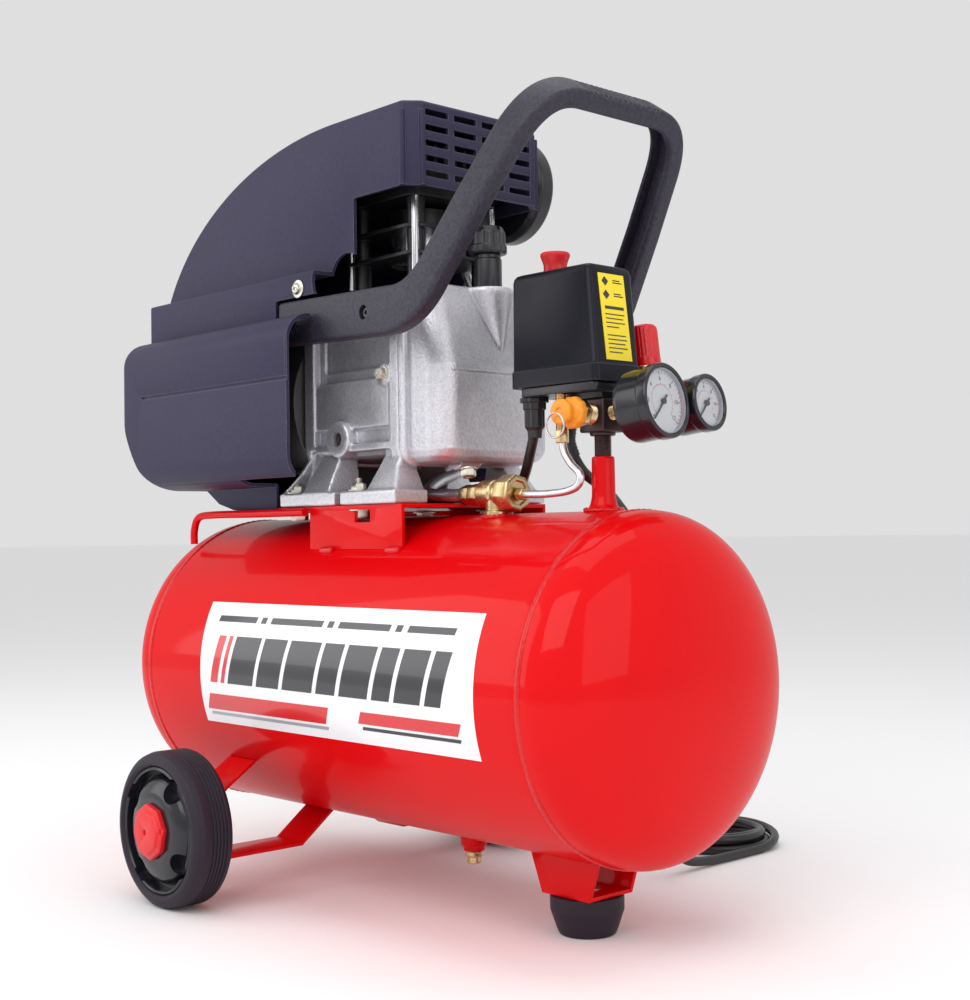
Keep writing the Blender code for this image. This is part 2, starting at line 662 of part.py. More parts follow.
def make_shroud():
    rear = REAR_X + 0.0024
    band_rear = REAR_X + 0.0030
    outer = prism("upper_shroud", shroud_outline(0.0, BAND_Z[0], rear, SHROUD_FRONT),
                  -FLANK_HALF, FLANK_HALF, "Y")
    join(outer, box("band", (band_rear, -0.021), (-BAND_HALF, BAND_HALF), (BAND_Z[0], BAND_Z[1])))
    inner = prism("inner", shroud_outline(SHEET, BAND_Z[0] - 0.01, rear, SHROUD_FRONT),
                  -FLANK_HALF + SHEET, FLANK_HALF - SHEET, "Y")
    inner_band = box("inner_band", (band_rear + SHEET, 0.0),
                     (-BAND_HALF + SHEET, BAND_HALF - SHEET), (BAND_Z[0] - 0.01, BAND_Z[1] - SHEET))
    front_cut = box("front_cut", (-0.004, 0.08), (-0.1, 0.1), (BAND_Z[0] - 0.02, CYL_TOP))
    side_cut = box("side_cut", (-0.021, 0.08), (-0.1, 0.1), (BAND_Z[0] - 0.02, 0.4995))
    arm_cut = box("arm_cut", (-0.084, 0.0), (-0.1, 0.1), (BAND_Z[0] - 0.02, 0.4730))
    neck = rod("neck", 0.0135, FLANK_HALF - 0.01, FLANK_HALF + 0.01, "Y", (0.014, 0, 0.568), 20)
    cut(outer, inner, inner_band, front_cut, side_cut, arm_cut, neck)
    for row in range(5):
        for column in range(4):
            y = (column - 1.5) * 0.0287
            z = 0.5545 + row * 0.0115
            cut(outer, box("slot", (SHROUD_FRONT - 0.01, SHROUD_FRONT + 0.01),
                           (y - 0.0115, y + 0.0115), (z - 0.0025, z + 0.0025)))
    finish(outer, DARK_PLASTIC)


def corner_outline(inset):
    """Everything outside the round lower rear corner of the fan cover, in side view."""
    bend_x, bend_z = COVER_BEND
    reach = bend_x - REAR_X + 0.0005 - inset
    drop = bend_z - COVER_Z[0] + 0.0005 - inset
    power = 2 / COVER_FULLNESS
    outline = []
    steps = 8
    for k in range(steps + 1):
        angle = 0.5 * math.pi * k / steps
        outline.append((bend_x - reach * abs(math.sin(angle)) ** power,
                        bend_z - drop * abs(math.cos(angle)) ** power))
    return outline + [(REAR_X - 0.03, bend_z), (REAR_X - 0.03, COVER_Z[0] - 0.03),
                      (bend_x, COVER_Z[0] - 0.03)]


def make_fan_cover():
    low, high = COVER_Z
    middle = (0.0, (low + high) / 2)
    half_z = (high - low) / 2
    front = -0.028
    cover = pillow("fan_cover", COVER_HALF, half_z, 0.022, REAR_X, front, "X", middle, (0.012, 0.0))
    cut(cover, prism("corner", corner_outline(0.0), -0.13, 0.13, "Y"))
    hollow = pillow("hollow", COVER_HALF - SHEET, half_z - SHEET, 0.019, REAR_X + SHEET, front + 0.01,
                    "X", middle, (0.010, 0.0))
    cut(hollow, prism("corner", corner_outline(SHEET), -0.13, 0.13, "Y"))
    top = box("top", (REAR_X + 0.016, front + 0.01), (-BAND_HALF + SHEET, BAND_HALF - SHEET),
              (high - 0.01, high + 0.01))
    underside = box("underside", (DUCT_FRONT - 0.001, front + 0.01), (-0.110, 0.110),
                    (low - 0.01, low + 0.01))
    arm_room = box("arm_room", (-0.084, front + 0.01), (-0.0945, 0.0945), (high - 0.01, high + 0.01))
    cut(cover, hollow, top, underside, arm_room)
    duct = prism("duct", [(-0.2115, 0.3262), (-0.1900, 0.3130), (-0.1680, 0.3075), (-0.1500, 0.3062),
                          (DUCT_FRONT, 0.3062), (DUCT_FRONT, 0.3270), (-0.2115, 0.3270)],
                 -DUCT_HALF, DUCT_HALF, "Y")
    duct_hollow = prism("duct_hollow", [(-0.2075, 0.3340), (-0.2062, 0.3262), (-0.1890, 0.3156),
                                        (-0.1675, 0.3100), (-0.1495, 0.3088),
                                        (DUCT_FRONT + 0.01, 0.3088), (DUCT_FRONT + 0.01, 0.3340)],
                        -DUCT_HALF + 0.0025, DUCT_HALF - 0.0025, "Y")
    join(cover, duct)
    cut(cover, duct_hollow)
    for k in range(7):
        y = (k - 3) * 0.022
        cut(cover, box("vent", (REAR_X - 0.01, REAR_X + 0.016), (y - 0.005, y + 0.005), (0.382, 0.438)))
    finish(cover, DARK_PLASTIC)


def handle_path():
    """Middle line of the bent bar, near end to far end: point, direction of its wide side, width.

    The arms spread a little to the lower bend, lean inward as they rise and join in the grip."""
    low = [Vector((-0.080, -0.0795, 0.4545)), Vector((-0.010, -0.0865, 0.4508)),
           Vector((0.074, -0.0970, 0.4464))]
    elbow = Vector((0.1060, -0.1005, 0.4447))
    foot = Vector((0.1225, -0.0966, 0.4700))
    middle = Vector((0.1520, -0.0886, 0.5130))
    shoulder = Vector((0.1790, -0.0795, 0.5520))
    peak = Vector((0.2020, -0.0710, 0.5848))
    grip = Vector((0.2025, -0.0400, 0.5852))
    upright = Vector((0.0, 0.0, 1.0))
    rise = (peak - shoulder).normalized()
    plane_normal = Vector((-rise.z, 0.0, rise.x)).normalized()
    path = [(point, upright, 0.0350) for point in low]
    for share in (0.25, 0.5, 0.75, 1.0):
        point = low[2] * (1 - share) ** 2 + elbow * 2 * share * (1 - share) + foot * share ** 2
        wide = upright.lerp(plane_normal, share).normalized()
        path.append((point, wide, 0.0350 - 0.0085 * share))
    path.append((middle, plane_normal, 0.0255))
    for share in (0.0, 0.2, 0.4, 0.6, 0.8, 1.0):
        point = shoulder * (1 - share) ** 2 + peak * 2 * share * (1 - share) + grip * share ** 2
        path.append((point, plane_normal, 0.0250))
    mirrored = [(Vector((point.x, -point.y, point.z)), wide, width)
                for point, wide, width in reversed(path)]
    return path + mirrored


def make_handle():
    path = handle_path()
    rings = []
    chamfer = 0.003
    for k, (point, wide, width) in enumerate(path):
        before = path[max(k - 1, 0)][0]
        after = path[min(k + 1, len(path) - 1)][0]
        along = (after - before).normalized()
        thin = along.cross(wide).normalized()
        wide = thin.cross(along).normalized()
        half_w = width / 2
        half_t = HANDLE_THICK / 2
        section = ((half_w - chamfer, half_t), (-half_w + chamfer, half_t),
                   (-half_w, half_t - chamfer), (-half_w, -half_t + chamfer),
                   (-half_w + chamfer, -half_t), (half_w - chamfer, -half_t),
                   (half_w, -half_t + chamfer), (half_w, half_t - chamfer))
        rings.append([point + wide * u + thin * v for u, v in section])
    finish(loft("handle", rings), BLACK)


# ---------------------------------------------------------------- switch, manifold and gauges

def lean_front(item, middle):
    """Slope the front end of the switch cover forward as it goes down."""
    for vertex in item.data.vertices:
        if vertex.co.x > middle:
            vertex.co.x += SWITCH_LEAN * (SWITCH_Z[1] - vertex.co.z)
    return item


def make_switch():
    mid_x = (SWITCH_X[0] + SWITCH_X[1]) / 2
    half_x = (SWITCH_X[1] - SWITCH_X[0]) / 2
    base_z = SWITCH_Z[0] - GAP
    base = pillow("switch_base", half_x - 0.003, SWITCH_HALF - 0.0015, 0.005, base_z - SWITCH_BASE,
                  base_z, "Z", (mid_x + 0.005, 0.0), (0.0, 0.0))
    join(base, box("port", (RISER_X - 0.034, RISER_X + 0.010), (-0.011, 0.011),
                   (MANIFOLD_Z + 0.0118 + GAP, base_z - SWITCH_BASE + 0.001)))
    finish(base, BLACK)
    cover = pillow("switch_cover", half_x, SWITCH_HALF, 0.005, SWITCH_Z[0], SWITCH_Z[1], "Z",
                   (mid_x, 0.0), (0.0, 0.004))
    hollow = pillow("hollow", half_x - 0.0025, SWITCH_HALF - 0.0025, 0.003, SWITCH_Z[0] - 0.01,
                    SWITCH_Z[1] - 0.0025, "Z", (mid_x, 0.0), (0.0, 0.002))
    shaft_hole = rod("hole", 0.0092, 0.45, 0.49, "Z", (KNOB_X, 0, 0), 20)
    finish(cut(lean_front(cover, mid_x), lean_front(hollow, mid_x), shaft_hole), BLACK)
    top = SWITCH_Z[1]
    profile = [(0.0, top - 0.016), (0.0087, top - 0.016), (0.0087, top + 0.0062),
               (0.0109, top + 0.0135), (0.0104, top + 0.0160), (0.0, top + 0.0165)]
    knob = turned("switch_knob", profile, "Z", (KNOB_X, 0, 0), 24)
    finish(origin_at(knob, (KNOB_X, 0, top)), RED_PLASTIC)


def make_manifold():
    low = RISER_TOP + GAP
    stem = rod("manifold", 0.0062, low, MANIFOLD_Z, "Z", (RISER_X, 0, 0), 20)
    join(stem, box("cross", (RISER_X - 0.0118, RISER_X + 0.0118), (-0.0118, 0.0118),
                   (MANIFOLD_Z - 0.0118, MANIFOLD_Z + 0.0118)))
    finish(stem, DARK_STEEL)

    start = 0.0118 + GAP
    spot = (RISER_X, 0, MANIFOLD_Z + 0.001)
    profile = [(0.0, -start), (0.0075, -start), (0.0075, -start - 0.007), (0.0100, -start - 0.0075),
               (0.0100, -start - 0.014), (0.0, -start - 0.014)]
    finish(turned("safety_valve_body", profile, "Y", spot, 20), BRASS)
    face = -start - 0.014 - GAP
    profile = [(0.0, face), (0.0108, face), (0.0112, face - 0.006), (0.0075, face - 0.011),
               (0.0090, face - 0.017), (0.0, face - 0.018)]
    finish(turned("safety_valve_cap", profile, "Y", spot, 20), ((0.85, 0.35, 0.02), 0.4))
    ring_y = face - 0.0205
    wire = 0.0011
    loop = [(0.0085 + wire * math.cos(a), wire * math.sin(a))
            for a in [math.pi * k / 3 for k in range(6)]]
    ring = turned("safety_ring", loop, "Y", (RISER_X, ring_y, MANIFOLD_Z - 0.007), 24)
    finish(origin_at(ring, (RISER_X, ring_y, MANIFOLD_Z)), STEEL)


def make_regulator():
    """The regulator leans back with the gauges, about the point where its arm meets it."""
    pivot = (REGULATOR_X, REGULATOR_Y, MANIFOLD_Z)
    arm_x = RISER_X - REGULATOR_X
    body = rod("regulator_body", 0.0065, 0.0118 + GAP - REGULATOR_Y, 0.0, "Y", (arm_x, 0, 0), 20)
    join(body, rod("barrel", 0.0135, -0.010, KNOB_START - GAP, "Z", (0, 0, 0), 24))
    profile = [(0.0, KNOB_START), (0.0105, KNOB_START), (0.0105, KNOB_START + 0.0285),
               (0.0085, KNOB_START + 0.0310), (0.0, KNOB_START + 0.0315)]
    knob = turned("regulator_knob", profile, "Z", (0, 0, 0), 20)
    end = 0.0135 + 0.001
    profile = [(0.0, end), (0.0085, end), (0.0085, end + 0.010), (0.0060, end + 0.0105),
               (0.0060, end + 0.022), (0.0, end + 0.022)]
    tail = turned("outlet_tail", profile, "Y", (0, 0, 0), 20)
    for item, look in ((body, BRASS), (knob, RED_PLASTIC), (tail, BRASS)):
        item.location = pivot
        item.rotation_euler = (0.0, -GAUGE_TILT, 0.0)
        finish(item, look)


def make_gauge(label, start, radius, reach):
    """A gauge whose face looks along +X, a little up and a little towards +Y, with its needle.

    start is the end of its stem and reach is how far the rim stands from there."""
    stem_end = reach - 0.030
    profile = [(0.0, 0.0), (0.0055, 0.0), (0.0055, stem_end), (radius * 0.93, stem_end),
               (radius, stem_end + 0.004), (radius, reach), (radius - 0.0025, reach),
               (radius - 0.0025, reach - 0.005), (0.0, reach - 0.005)]
    case = turned(label + "_case", profile, "X", (0, 0, 0), 32)
    needle_x = reach - 0.0045
    outline = [(0.0022 * math.cos(a), 0.0022 * math.sin(a)) for a in
               [math.pi * k / 4 for k in range(8)]]
    hub = prism(label + "_needle", outline, needle_x, needle_x + 0.0015, "X")
    length = radius * 0.68
    blade = prism("blade", [(-length * 0.35, -0.0006), (length, -0.0004), (length, 0.0004),
                            (-length * 0.35, 0.0006)], needle_x + 0.0002, needle_x + 0.0010, "X")
    needle = join(hub, blade)
    slope = math.radians(-135.0)
    for vertex in needle.data.vertices:
        y = vertex.co.y
        z = vertex.co.z
        vertex.co.y = y * math.cos(slope) - z * math.sin(slope)
        vertex.co.z = y * math.sin(slope) + z * math.cos(slope)
    for item in (case, needle):
        item.location = start
        item.rotation_euler = (0.0, -GAUGE_TILT, GAUGE_YAW)
        finish(item, BLACK)


def make_gauges():
    tank_start = (RISER_X + 0.0118 + 0.0012, -0.0046, MANIFOLD_Z + 0.0010)
    make_gauge("tank_gauge", tank_start, 0.0263, 0.0480)
    outlet_start = (REGULATOR_X + 0.0135 + 0.0016, 0.0444, MANIFOLD_Z + 0.0035)
    make_gauge("outlet_gauge", outlet_start, 0.0205, 0.0375)


# ---------------------------------------------------------------- pipes and leads

def make_check_valve():
    spot = (0, -0.020, 0.3140)
    profile = [(0.0, 0.0745), (0.0085, 0.0745), (0.0085, 0.0860), (0.0105, 0.0870),
               (0.0105, 0.1080), (0.0140, 0.1090), (0.0140, 0.1230), (0.0, 0.1230)]
    valve = turned("check_valve", profile, "X", spot, 24)
    join(valve, rod("neck", 0.0085, 0.285, spot[2], "Z", (0.100, spot[1], 0), 20))
    finish(cut_tank_shape(valve), BRASS)


def make_pipes():
    discharge = [(0.0742, -0.020, 0.3140), (0.045, -0.020, 0.3145), (0.010, -0.010, 0.3175),
                 (-0.010, 0.018, 0.3270), (-0.0145, 0.046, 0.3360), (-0.0130, 0.064, 0.3480),
                 (-0.0120, 0.0695, 0.3700), (-0.0120, 0.0695, 0.4300), (-0.0120, 0.0685, 0.4680),
                 (-0.0135, 0.0610, 0.4930), (-0.0210, 0.0570, 0.5150),
                 (-0.0255, 0.0575, 0.5430), (-0.0260, 0.0530, 0.5562), (-0.0260, 0.0466, 0.5562)]
    paint_tube(tube("discharge_tube", discharge, 0.0048, 0.010), STEEL)
    unloader = [(0.1660, -0.0175, 0.3560), (0.1675, -0.0175, 0.3430), (0.1745, -0.0175, 0.3330),
                (0.1840, -0.0180, 0.3240), (0.1800, -0.0190, 0.3160), (0.1560, -0.0200, 0.3125),
                (0.1234, -0.0200, 0.3130)]
    paint_tube(tube("unloader_tube", unloader, 0.0028, 0.0055), STEEL)
    lead = [(0.1310, -0.0100, 0.3822), (0.1305, -0.0100, 0.3600), (0.1220, -0.0060, 0.3440),
            (0.1080, 0.0020, 0.3290), (0.0900, 0.0120, 0.3180), (0.0600, 0.0230, 0.3145),
            (0.0100, 0.0290, 0.3140), (-0.0500, 0.0300, 0.3140), (-0.1000, 0.0300, 0.3140)]
    paint_tube(tube("motor_lead", lead, 0.0038, 0.012), BLACK)


def cord_route(start_z):
    """Chosen points of the loose cord: from the gland, behind the tank and down to the coil."""
    floor = CORD_R + 0.0003
    beside_coil = COIL_CENTRE[0] + COIL_R + COIL_BAND / 2 + CORD_R + 0.0004
    return [(0.1440, 0.0120, start_z), (0.1440, 0.0120, start_z - 0.012), (0.1470, 0.0230, 0.3300),
            (0.1450, 0.0450, 0.3190), (0.1350, 0.0720, 0.3080), (0.1300, 0.1020, 0.2820),
            (0.1250, 0.1260, 0.2440), (0.1200, 0.1380, 0.1960), (0.1110, 0.1440, 0.1400),
            (0.1030, 0.1520, 0.0800), (0.0990, 0.1660, 0.0350), (0.0970, 0.1900, 0.0120),
            (beside_coil, 0.2200, floor + 0.0010), (beside_coil, 0.2600, floor),
            (beside_coil, 0.2980, floor)]


def make_cord():
    gland_top = SWITCH_Z[0] - GAP - SWITCH_BASE - GAP
    gland_low = gland_top - GLAND_LENGTH
    profile = [(0.0, gland_top), (0.0080, gland_top), (0.0080, gland_top - 0.010),
               (0.0062, gland_top - 0.012), (0.0055, gland_low), (0.0, gland_low)]
    finish(turned("cord_gland", profile, "Z", (0.1440, 0.0120, 0), 16), BLACK)

    paint_tube(tube("power_cord", cord_route(gland_low - 3 * GAP), CORD_R, 0.017), BLACK)

    inner = COIL_R - COIL_BAND / 2
    outer = COIL_R + COIL_BAND / 2
    low = 0.0003
    bevel = 0.003
    loop = [(inner, low + bevel), (inner + bevel, low), (outer - bevel, low), (outer, low + bevel),
            (outer, COIL_HEIGHT - bevel), (outer - bevel, COIL_HEIGHT),
            (inner + bevel, COIL_HEIGHT), (inner, COIL_HEIGHT - bevel)]
    finish(turned("cord_coil", loop, "Z", (*COIL_CENTRE, 0), 32), BLACK)


def make_plug():
    """The plug lies flat on the floor where the last turn runs straight out of the coil."""
    x = COIL_CENTRE[0] - COIL_R
    start = COIL_CENTRE[1] - 0.0380
    rings = []
    sections = ((0.0, 0.0050, 0.0050, 0.0053), (0.026, 0.0070, 0.0068, 0.0080),
                (0.031, 0.0150, 0.0085, 0.0090), (0.056, 0.0185, 0.0085, 0.0090),
                (0.060, 0.0165, 0.0075, 0.0090))
    for reach, half_wide, half_high, centre_z in sections:
        outline = rounded_rectangle(half_wide, half_high, half_high * 0.6, 2)
        rings.append([(x + u, start - reach, centre_z + v) for u, v in outline])
    plug = loft("power_plug", rings)
    for offset in (-0.0065, 0.0065):
        join(plug, rod("pin", 0.0023, start - 0.078, start - 0.058, "Y", (x + offset, 0, 0.009), 10))
    finish(plug, BLACK)


def main():
    clear_scene()
    make_tank()
    make_riser()
    make_drain()
    make_front_foot()
    make_wheel(-1, "near")
    make_wheel(1, "far")
    make_saddle()
    make_crankcase()
    make_breather()
    make_cylinder()
    make_crank_train()
    make_shroud()
    make_fan_cover()
    make_handle()
    make_switch()
    make_manifold()
    make_regulator()
    make_gauges()
    make_check_valve()
    make_pipes()
    make_cord()
    make_plug()


main()
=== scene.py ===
"""Looks of a 24-litre direct-drive air compressor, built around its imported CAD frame."""
import math

import bmesh
import bpy
from mathutils import Matrix, Vector
from mathutils.geometry import interpolate_bezier


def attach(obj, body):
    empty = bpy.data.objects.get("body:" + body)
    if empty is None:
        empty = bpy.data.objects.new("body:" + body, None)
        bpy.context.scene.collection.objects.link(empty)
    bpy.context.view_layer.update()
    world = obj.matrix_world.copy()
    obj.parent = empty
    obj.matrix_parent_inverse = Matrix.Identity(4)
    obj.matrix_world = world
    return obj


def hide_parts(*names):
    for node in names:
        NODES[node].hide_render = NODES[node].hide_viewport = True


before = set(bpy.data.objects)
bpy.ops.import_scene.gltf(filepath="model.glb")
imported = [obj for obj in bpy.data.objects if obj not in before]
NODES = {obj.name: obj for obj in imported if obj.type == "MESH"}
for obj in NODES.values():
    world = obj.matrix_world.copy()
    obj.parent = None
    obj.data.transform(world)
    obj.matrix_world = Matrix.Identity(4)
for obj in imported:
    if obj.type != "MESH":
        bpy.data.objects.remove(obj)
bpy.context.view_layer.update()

# Sizes repeated from part.py, in metres.
GAP = 0.0003
TANK_Z = 0.177
TANK_R = 0.1225
SHELL_HALF = 0.228
DOME_DEPTH = 0.054
WHEEL_X = -0.1145
WHEEL_R = 0.06
WHEEL_FACE_Y = 0.1835
TYRE_WIDTH = 0.0345
TYRE_BORE_R = 0.049
AXLE_R = 0.006
FOOT_X = 0.167
FOOT_HEIGHT = 0.028
DRAIN_X = 0.048
SADDLE_TOP = 0.3078
DECK_Z = 0.473
CYL_X = -0.006
CYL_TOP = 0.545
FIN_HALF = 0.045
CASE_HALF = 0.058
FLANGE_FRONT = 0.04
COVER_FRONT = 0.0835
REAR_X = -0.282
ARC_CENTRE = (-0.03, 0.44)
ARC_REACH = 0.2623
FLANK_HALF = 0.07
BAND_HALF = 0.088
BAND_Z = (0.4568, 0.492)
SHROUD_TOP = 0.609
SHROUD_FRONT = 0.0645
COVER_HALF = 0.118
COVER_Z = (0.325, 0.4565)
COVER_END = -0.028
SHEET = 0.003
COVER_BEND = (-0.217, 0.4208)
COVER_FULLNESS = 1.7
DUCT_FRONT = -0.1045
DUCT_HALF = 0.0745
HANDLE_THICK = 0.0145
RISER_X = 0.189
RISER_TOP = 0.338
MANIFOLD_Z = 0.3665
SWITCH_X = (0.1195, 0.2005)
SWITCH_HALF = 0.024
SWITCH_Z = (0.3895, 0.4725)
SWITCH_LEAN = 0.075
SWITCH_BASE = 0.0062
KNOB_X = 0.1445
REGULATOR_X = 0.196
REGULATOR_Y = 0.046
KNOB_START = 0.0373
GAUGE_TILT = math.radians(7.0)
GAUGE_YAW = math.radians(5.5)
CORD_R = 0.004
COIL_CENTRE = (0.038, 0.3)
COIL_R = 0.046
COIL_BAND = 0.016
CORD_FLOOR = CORD_R + 0.0003
BOLT_X = (-0.0835, -0.0025)
CHAMFER = (0.01, 0.013)

# The viewpoint: place in metres, turns in degrees and focal length in millimetres.
CAMERA_PLACE = (0.9042, -0.7755, 0.2839)
CAMERA_YAW = 47.24
CAMERA_PITCH = -1.33
CAMERA_ROLL = -0.78
CAMERA_LENS = 53.676


# ---------------------------------------------------------------- mesh helpers

def link(item):
    bpy.context.scene.collection.objects.link(item)
    return item


def make_mesh(name, points, faces):
    mesh = bpy.data.meshes.new(name)
    mesh.from_pydata([tuple(p) for p in points], [], faces)
    work = bmesh.new()
    work.from_mesh(mesh)
    bmesh.ops.recalc_face_normals(work, faces=work.faces)
    work.to_mesh(mesh)
    work.free()
    return link(bpy.data.objects.new(name, mesh))


def loft(name, rings, closed=False):
    """Skin rings of points in order, with capped ends unless closed."""
    count = len(rings[0])
    points = [point for ring in rings for point in ring]
    faces = []
    steps = len(rings) if closed else len(rings) - 1
    for step in range(steps):
        low = step * count
        high = ((step + 1) % len(rings)) * count
        for k in range(count):
            after = (k + 1) % count
            faces.append((low + k, low + after, high + after, high + k))
    if not closed:
        faces.append(tuple(range(count)))
        faces.append(tuple(range((len(rings) - 1) * count, len(rings) * count)))
    return make_mesh(name, points, faces)


def on_axis(axis, across, up, along):
    if axis == "X":
        return Vector((along, across, up))
    if axis == "Y":
        return Vector((across, along, up))
    return Vector((across, up, along))


def eased(points, reach, steps=4, closed=False):
    """The same outline with each corner rounded off within reach of it."""
    result = []
    count = len(points)
    for k, point in enumerate(points):
        if not closed and k in (0, count - 1):
            result.append(tuple(point))
            continue
        here = Vector(point)
        before = Vector(points[k - 1])
        after = Vector(points[(k + 1) % count])
        lead = here + (before - here).normalized() * min(reach, (before - here).length * 0.45)
        trail = here + (after - here).normalized() * min(reach, (after - here).length * 0.45)
        for step in range(steps + 1):
            share = step / steps
            spot = lead * (1 - share) ** 2 + here * 2 * share * (1 - share) + trail * share ** 2
            result.append(tuple(spot))
    return result


def turned(name, profile, axis, centre, sides=64, turn=0.0, soft=0.0, waves=None):
    """A turned body from (radius, height) points. waves(angle, radius, height) may change a radius."""
    solid = profile[0][0] == 0.0
    if soft > 0:
        profile = eased(profile, soft, 4, closed=not solid)
    kept = [point for point in profile if point[0] > 0.0]
    rings = []
    for radius, height in kept:
        ring = []
        for k in range(sides):
            angle = turn + 2 * math.pi * k / sides
            reach = waves(angle, radius, height) if waves else radius
            offset = on_axis(axis, reach * math.cos(angle), reach * math.sin(angle), height)
            ring.append(Vector(centre) + offset)
        rings.append(ring)
    return loft(name, rings, closed=not solid)


def heights(level, *pairs):
    """Profile points whose heights are given from one level."""
    return [(radius, level + height) for radius, height in pairs]


def rod(name, radius, start, end, axis, centre, sides=32, soft=0.0, turn=0.0):
    profile = [(0.0, start), (radius, start), (radius, end), (0.0, end)]
    return turned(name, profile, axis, centre, sides, turn, soft)


def rounded_rectangle(half_u, half_v, radius, steps=6, middle=(0.0, 0.0)):
    outline = []
    for side_u, side_v, start in ((1, 1, 0.0), (-1, 1, 0.5), (-1, -1, 1.0), (1, -1, 1.5)):
        for k in range(steps + 1):
            angle = math.pi * (start + 0.5 * k / steps)
            outline.append((middle[0] + side_u * (half_u - radius) + radius * math.cos(angle),
                            middle[1] + side_v * (half_v - radius) + radius * math.sin(angle)))
    return outline


def prism(name, outline, low, high, axis):
    rings = [[on_axis(axis, u, v, level) for u, v in outline] for level in (low, high)]
    return loft(name, rings)


def box(name, x, y, z):
    outline = [(x[0], y[0]), (x[1], y[0]), (x[1], y[1]), (x[0], y[1])]
    return prism(name, outline, z[0], z[1], "Z")


def pillow(name, half_u, half_v, corner, low, high, axis, middle, edges, steps=6):
    """A rounded block whose ends are drawn in by the edge radii (low end, high end)."""
    levels = []
    if edges[0] > 0:
        for k in range(steps):
            angle = 0.5 * math.pi * k / steps
            levels.append((low + edges[0] * (1 - math.cos(angle)), edges[0] * (1 - math.sin(angle))))
    levels.append((low + edges[0], 0.0))
    levels.append((high - edges[1], 0.0))
    if edges[1] > 0:
        for k in range(1, steps + 1):
            angle = 0.5 * math.pi * k / steps
            levels.append((high - edges[1] * (1 - math.sin(angle)), edges[1] * (1 - math.cos(angle))))
    rings = []
    for level, inset in levels:
        radius = max(corner - inset, 0.0006)
        outline = rounded_rectangle(half_u - inset, half_v - inset, radius, steps, middle)
        rings.append([on_axis(axis, u, v, level) for u, v in outline])
    return loft(name, rings)


def settle(item):
    """Apply every modifier of an object to its mesh."""
    bpy.context.view_layer.update()
    shape = item.evaluated_get(bpy.context.evaluated_depsgraph_get())
    result = bpy.data.meshes.new_from_object(shape)
    item.modifiers.clear()
    item.data = result
    return item


def combine(target, others, operation):
    for other in others:
        modifier = target.modifiers.new(operation.lower(), "BOOLEAN")
        modifier.operation = operation
        modifier.solver = "EXACT"
        modifier.object = other
        settle(target)
        bpy.data.objects.remove(other, do_unlink=True)
    return target


def join(target, *others):
    return combine(target, others, "UNION")


def cut(target, *others):
    return combine(target, others, "DIFFERENCE")


def merge(name, items):
    """Put several separate bodies into one object, keeping their materials."""
    work = bmesh.new()
    surfaces = []
    for item in items:
        mesh = item.data.copy()
        mesh.transform(item.matrix_world)
        shift = len(surfaces)
        surfaces.extend(mesh.materials)
        for polygon in mesh.polygons:
            polygon.material_index += shift
        work.from_mesh(mesh)
    mesh = bpy.data.meshes.new(name)
    work.to_mesh(mesh)
    work.free()
    for surface in surfaces:
        mesh.materials.append(surface)
    for item in items:
        bpy.data.objects.remove(item, do_unlink=True)
    return link(bpy.data.objects.new(name, mesh))


def cad_copy(node, name):
    """A welded copy of a CAD node's mesh, for a piece that refines its shape."""
    work = bmesh.new()
    work.from_mesh(NODES[node].data)
    bmesh.ops.remove_doubles(work, verts=work.verts, dist=1e-6)
    bmesh.ops.dissolve_limit(work, angle_limit=math.radians(0.6), verts=work.verts, edges=work.edges)
    bmesh.ops.recalc_face_normals(work, faces=work.faces)
    mesh = bpy.data.meshes.new(name)
    work.to_mesh(mesh)
    work.free()
    return link(bpy.data.objects.new(name, mesh))


def bevel(item, width, segments=3, angle=32.0):
    modifier = item.modifiers.new("bevel", "BEVEL")
    modifier.width = width
    modifier.segments = segments
    modifier.limit_method = "ANGLE"
    modifier.angle_limit = math.radians(angle)
    modifier.use_clamp_overlap = True
    modifier.miter_outer = "MITER_ARC"
    return settle(item)


def cast(item, voxel, rounds):
    """Melt an object's overlapping bodies into one skin with filleted edges, as in a casting."""
    modifier = item.modifiers.new("melt", "REMESH")
    modifier.mode = "VOXEL"
    modifier.voxel_size = voxel * 1.0
    modifier.use_smooth_shade = True
    smooth = item.modifiers.new("smooth", "SMOOTH")
    smooth.factor = 0.5
    smooth.iterations = max(2, rounds // (1))
    return settle(item)


def smooth_shade(item, angle=38.0):
    item.data.shade_smooth()
    item.data.set_sharp_from_angle(angle=math.radians(angle))
    return item


def aim(item, place, direction):
    """Turn an object built along +Z to face a direction and put it in place."""
    turn = Vector(direction).to_track_quat("Z", "Y").to_matrix().to_4x4()
    item.data.transform(Matrix.Translation(Vector(place)) @ turn)
    return item


def hex_bolt(place, direction, across, height, washer=0.0, threads=0.0):
    """A hexagon head with a chamfered top, on a washer, with a shank behind it if asked."""
    base = 0.0
    parts = []
    if washer > 0:
        parts.append(rod("washer", washer, 0.0, 0.0012, "Z", (0, 0, 0), 28, 0.0003))
        base = 0.0012
    radius = across / math.sqrt(3.0)
    profile = [(0.0, base), (radius, base), (radius, base + height * 0.8),
               (radius * 0.88, base + height), (radius * 0.45, base + height),
               (radius * 0.4, base + height * 0.92), (0.0, base + height * 0.92)]
    parts.append(turned("head", profile, "Z", (0, 0, 0), 6))
    if threads > 0:
        turns = [(0.0, base + height - 0.0002)]
        radius = across * 0.28
        count = int(threads / 0.0012)
        for k in range(count):
            level = base + height + k * 0.0012
            turns += [(radius * 0.86, level), (radius, level + 0.0006)]
        turns += [(radius * 0.8, base + height + threads), (0.0, base + height + threads)]
        parts.append(turned("shank", turns, "Z", (0, 0, 0), 20))
    return aim(merge("bolt", parts), place, direction)


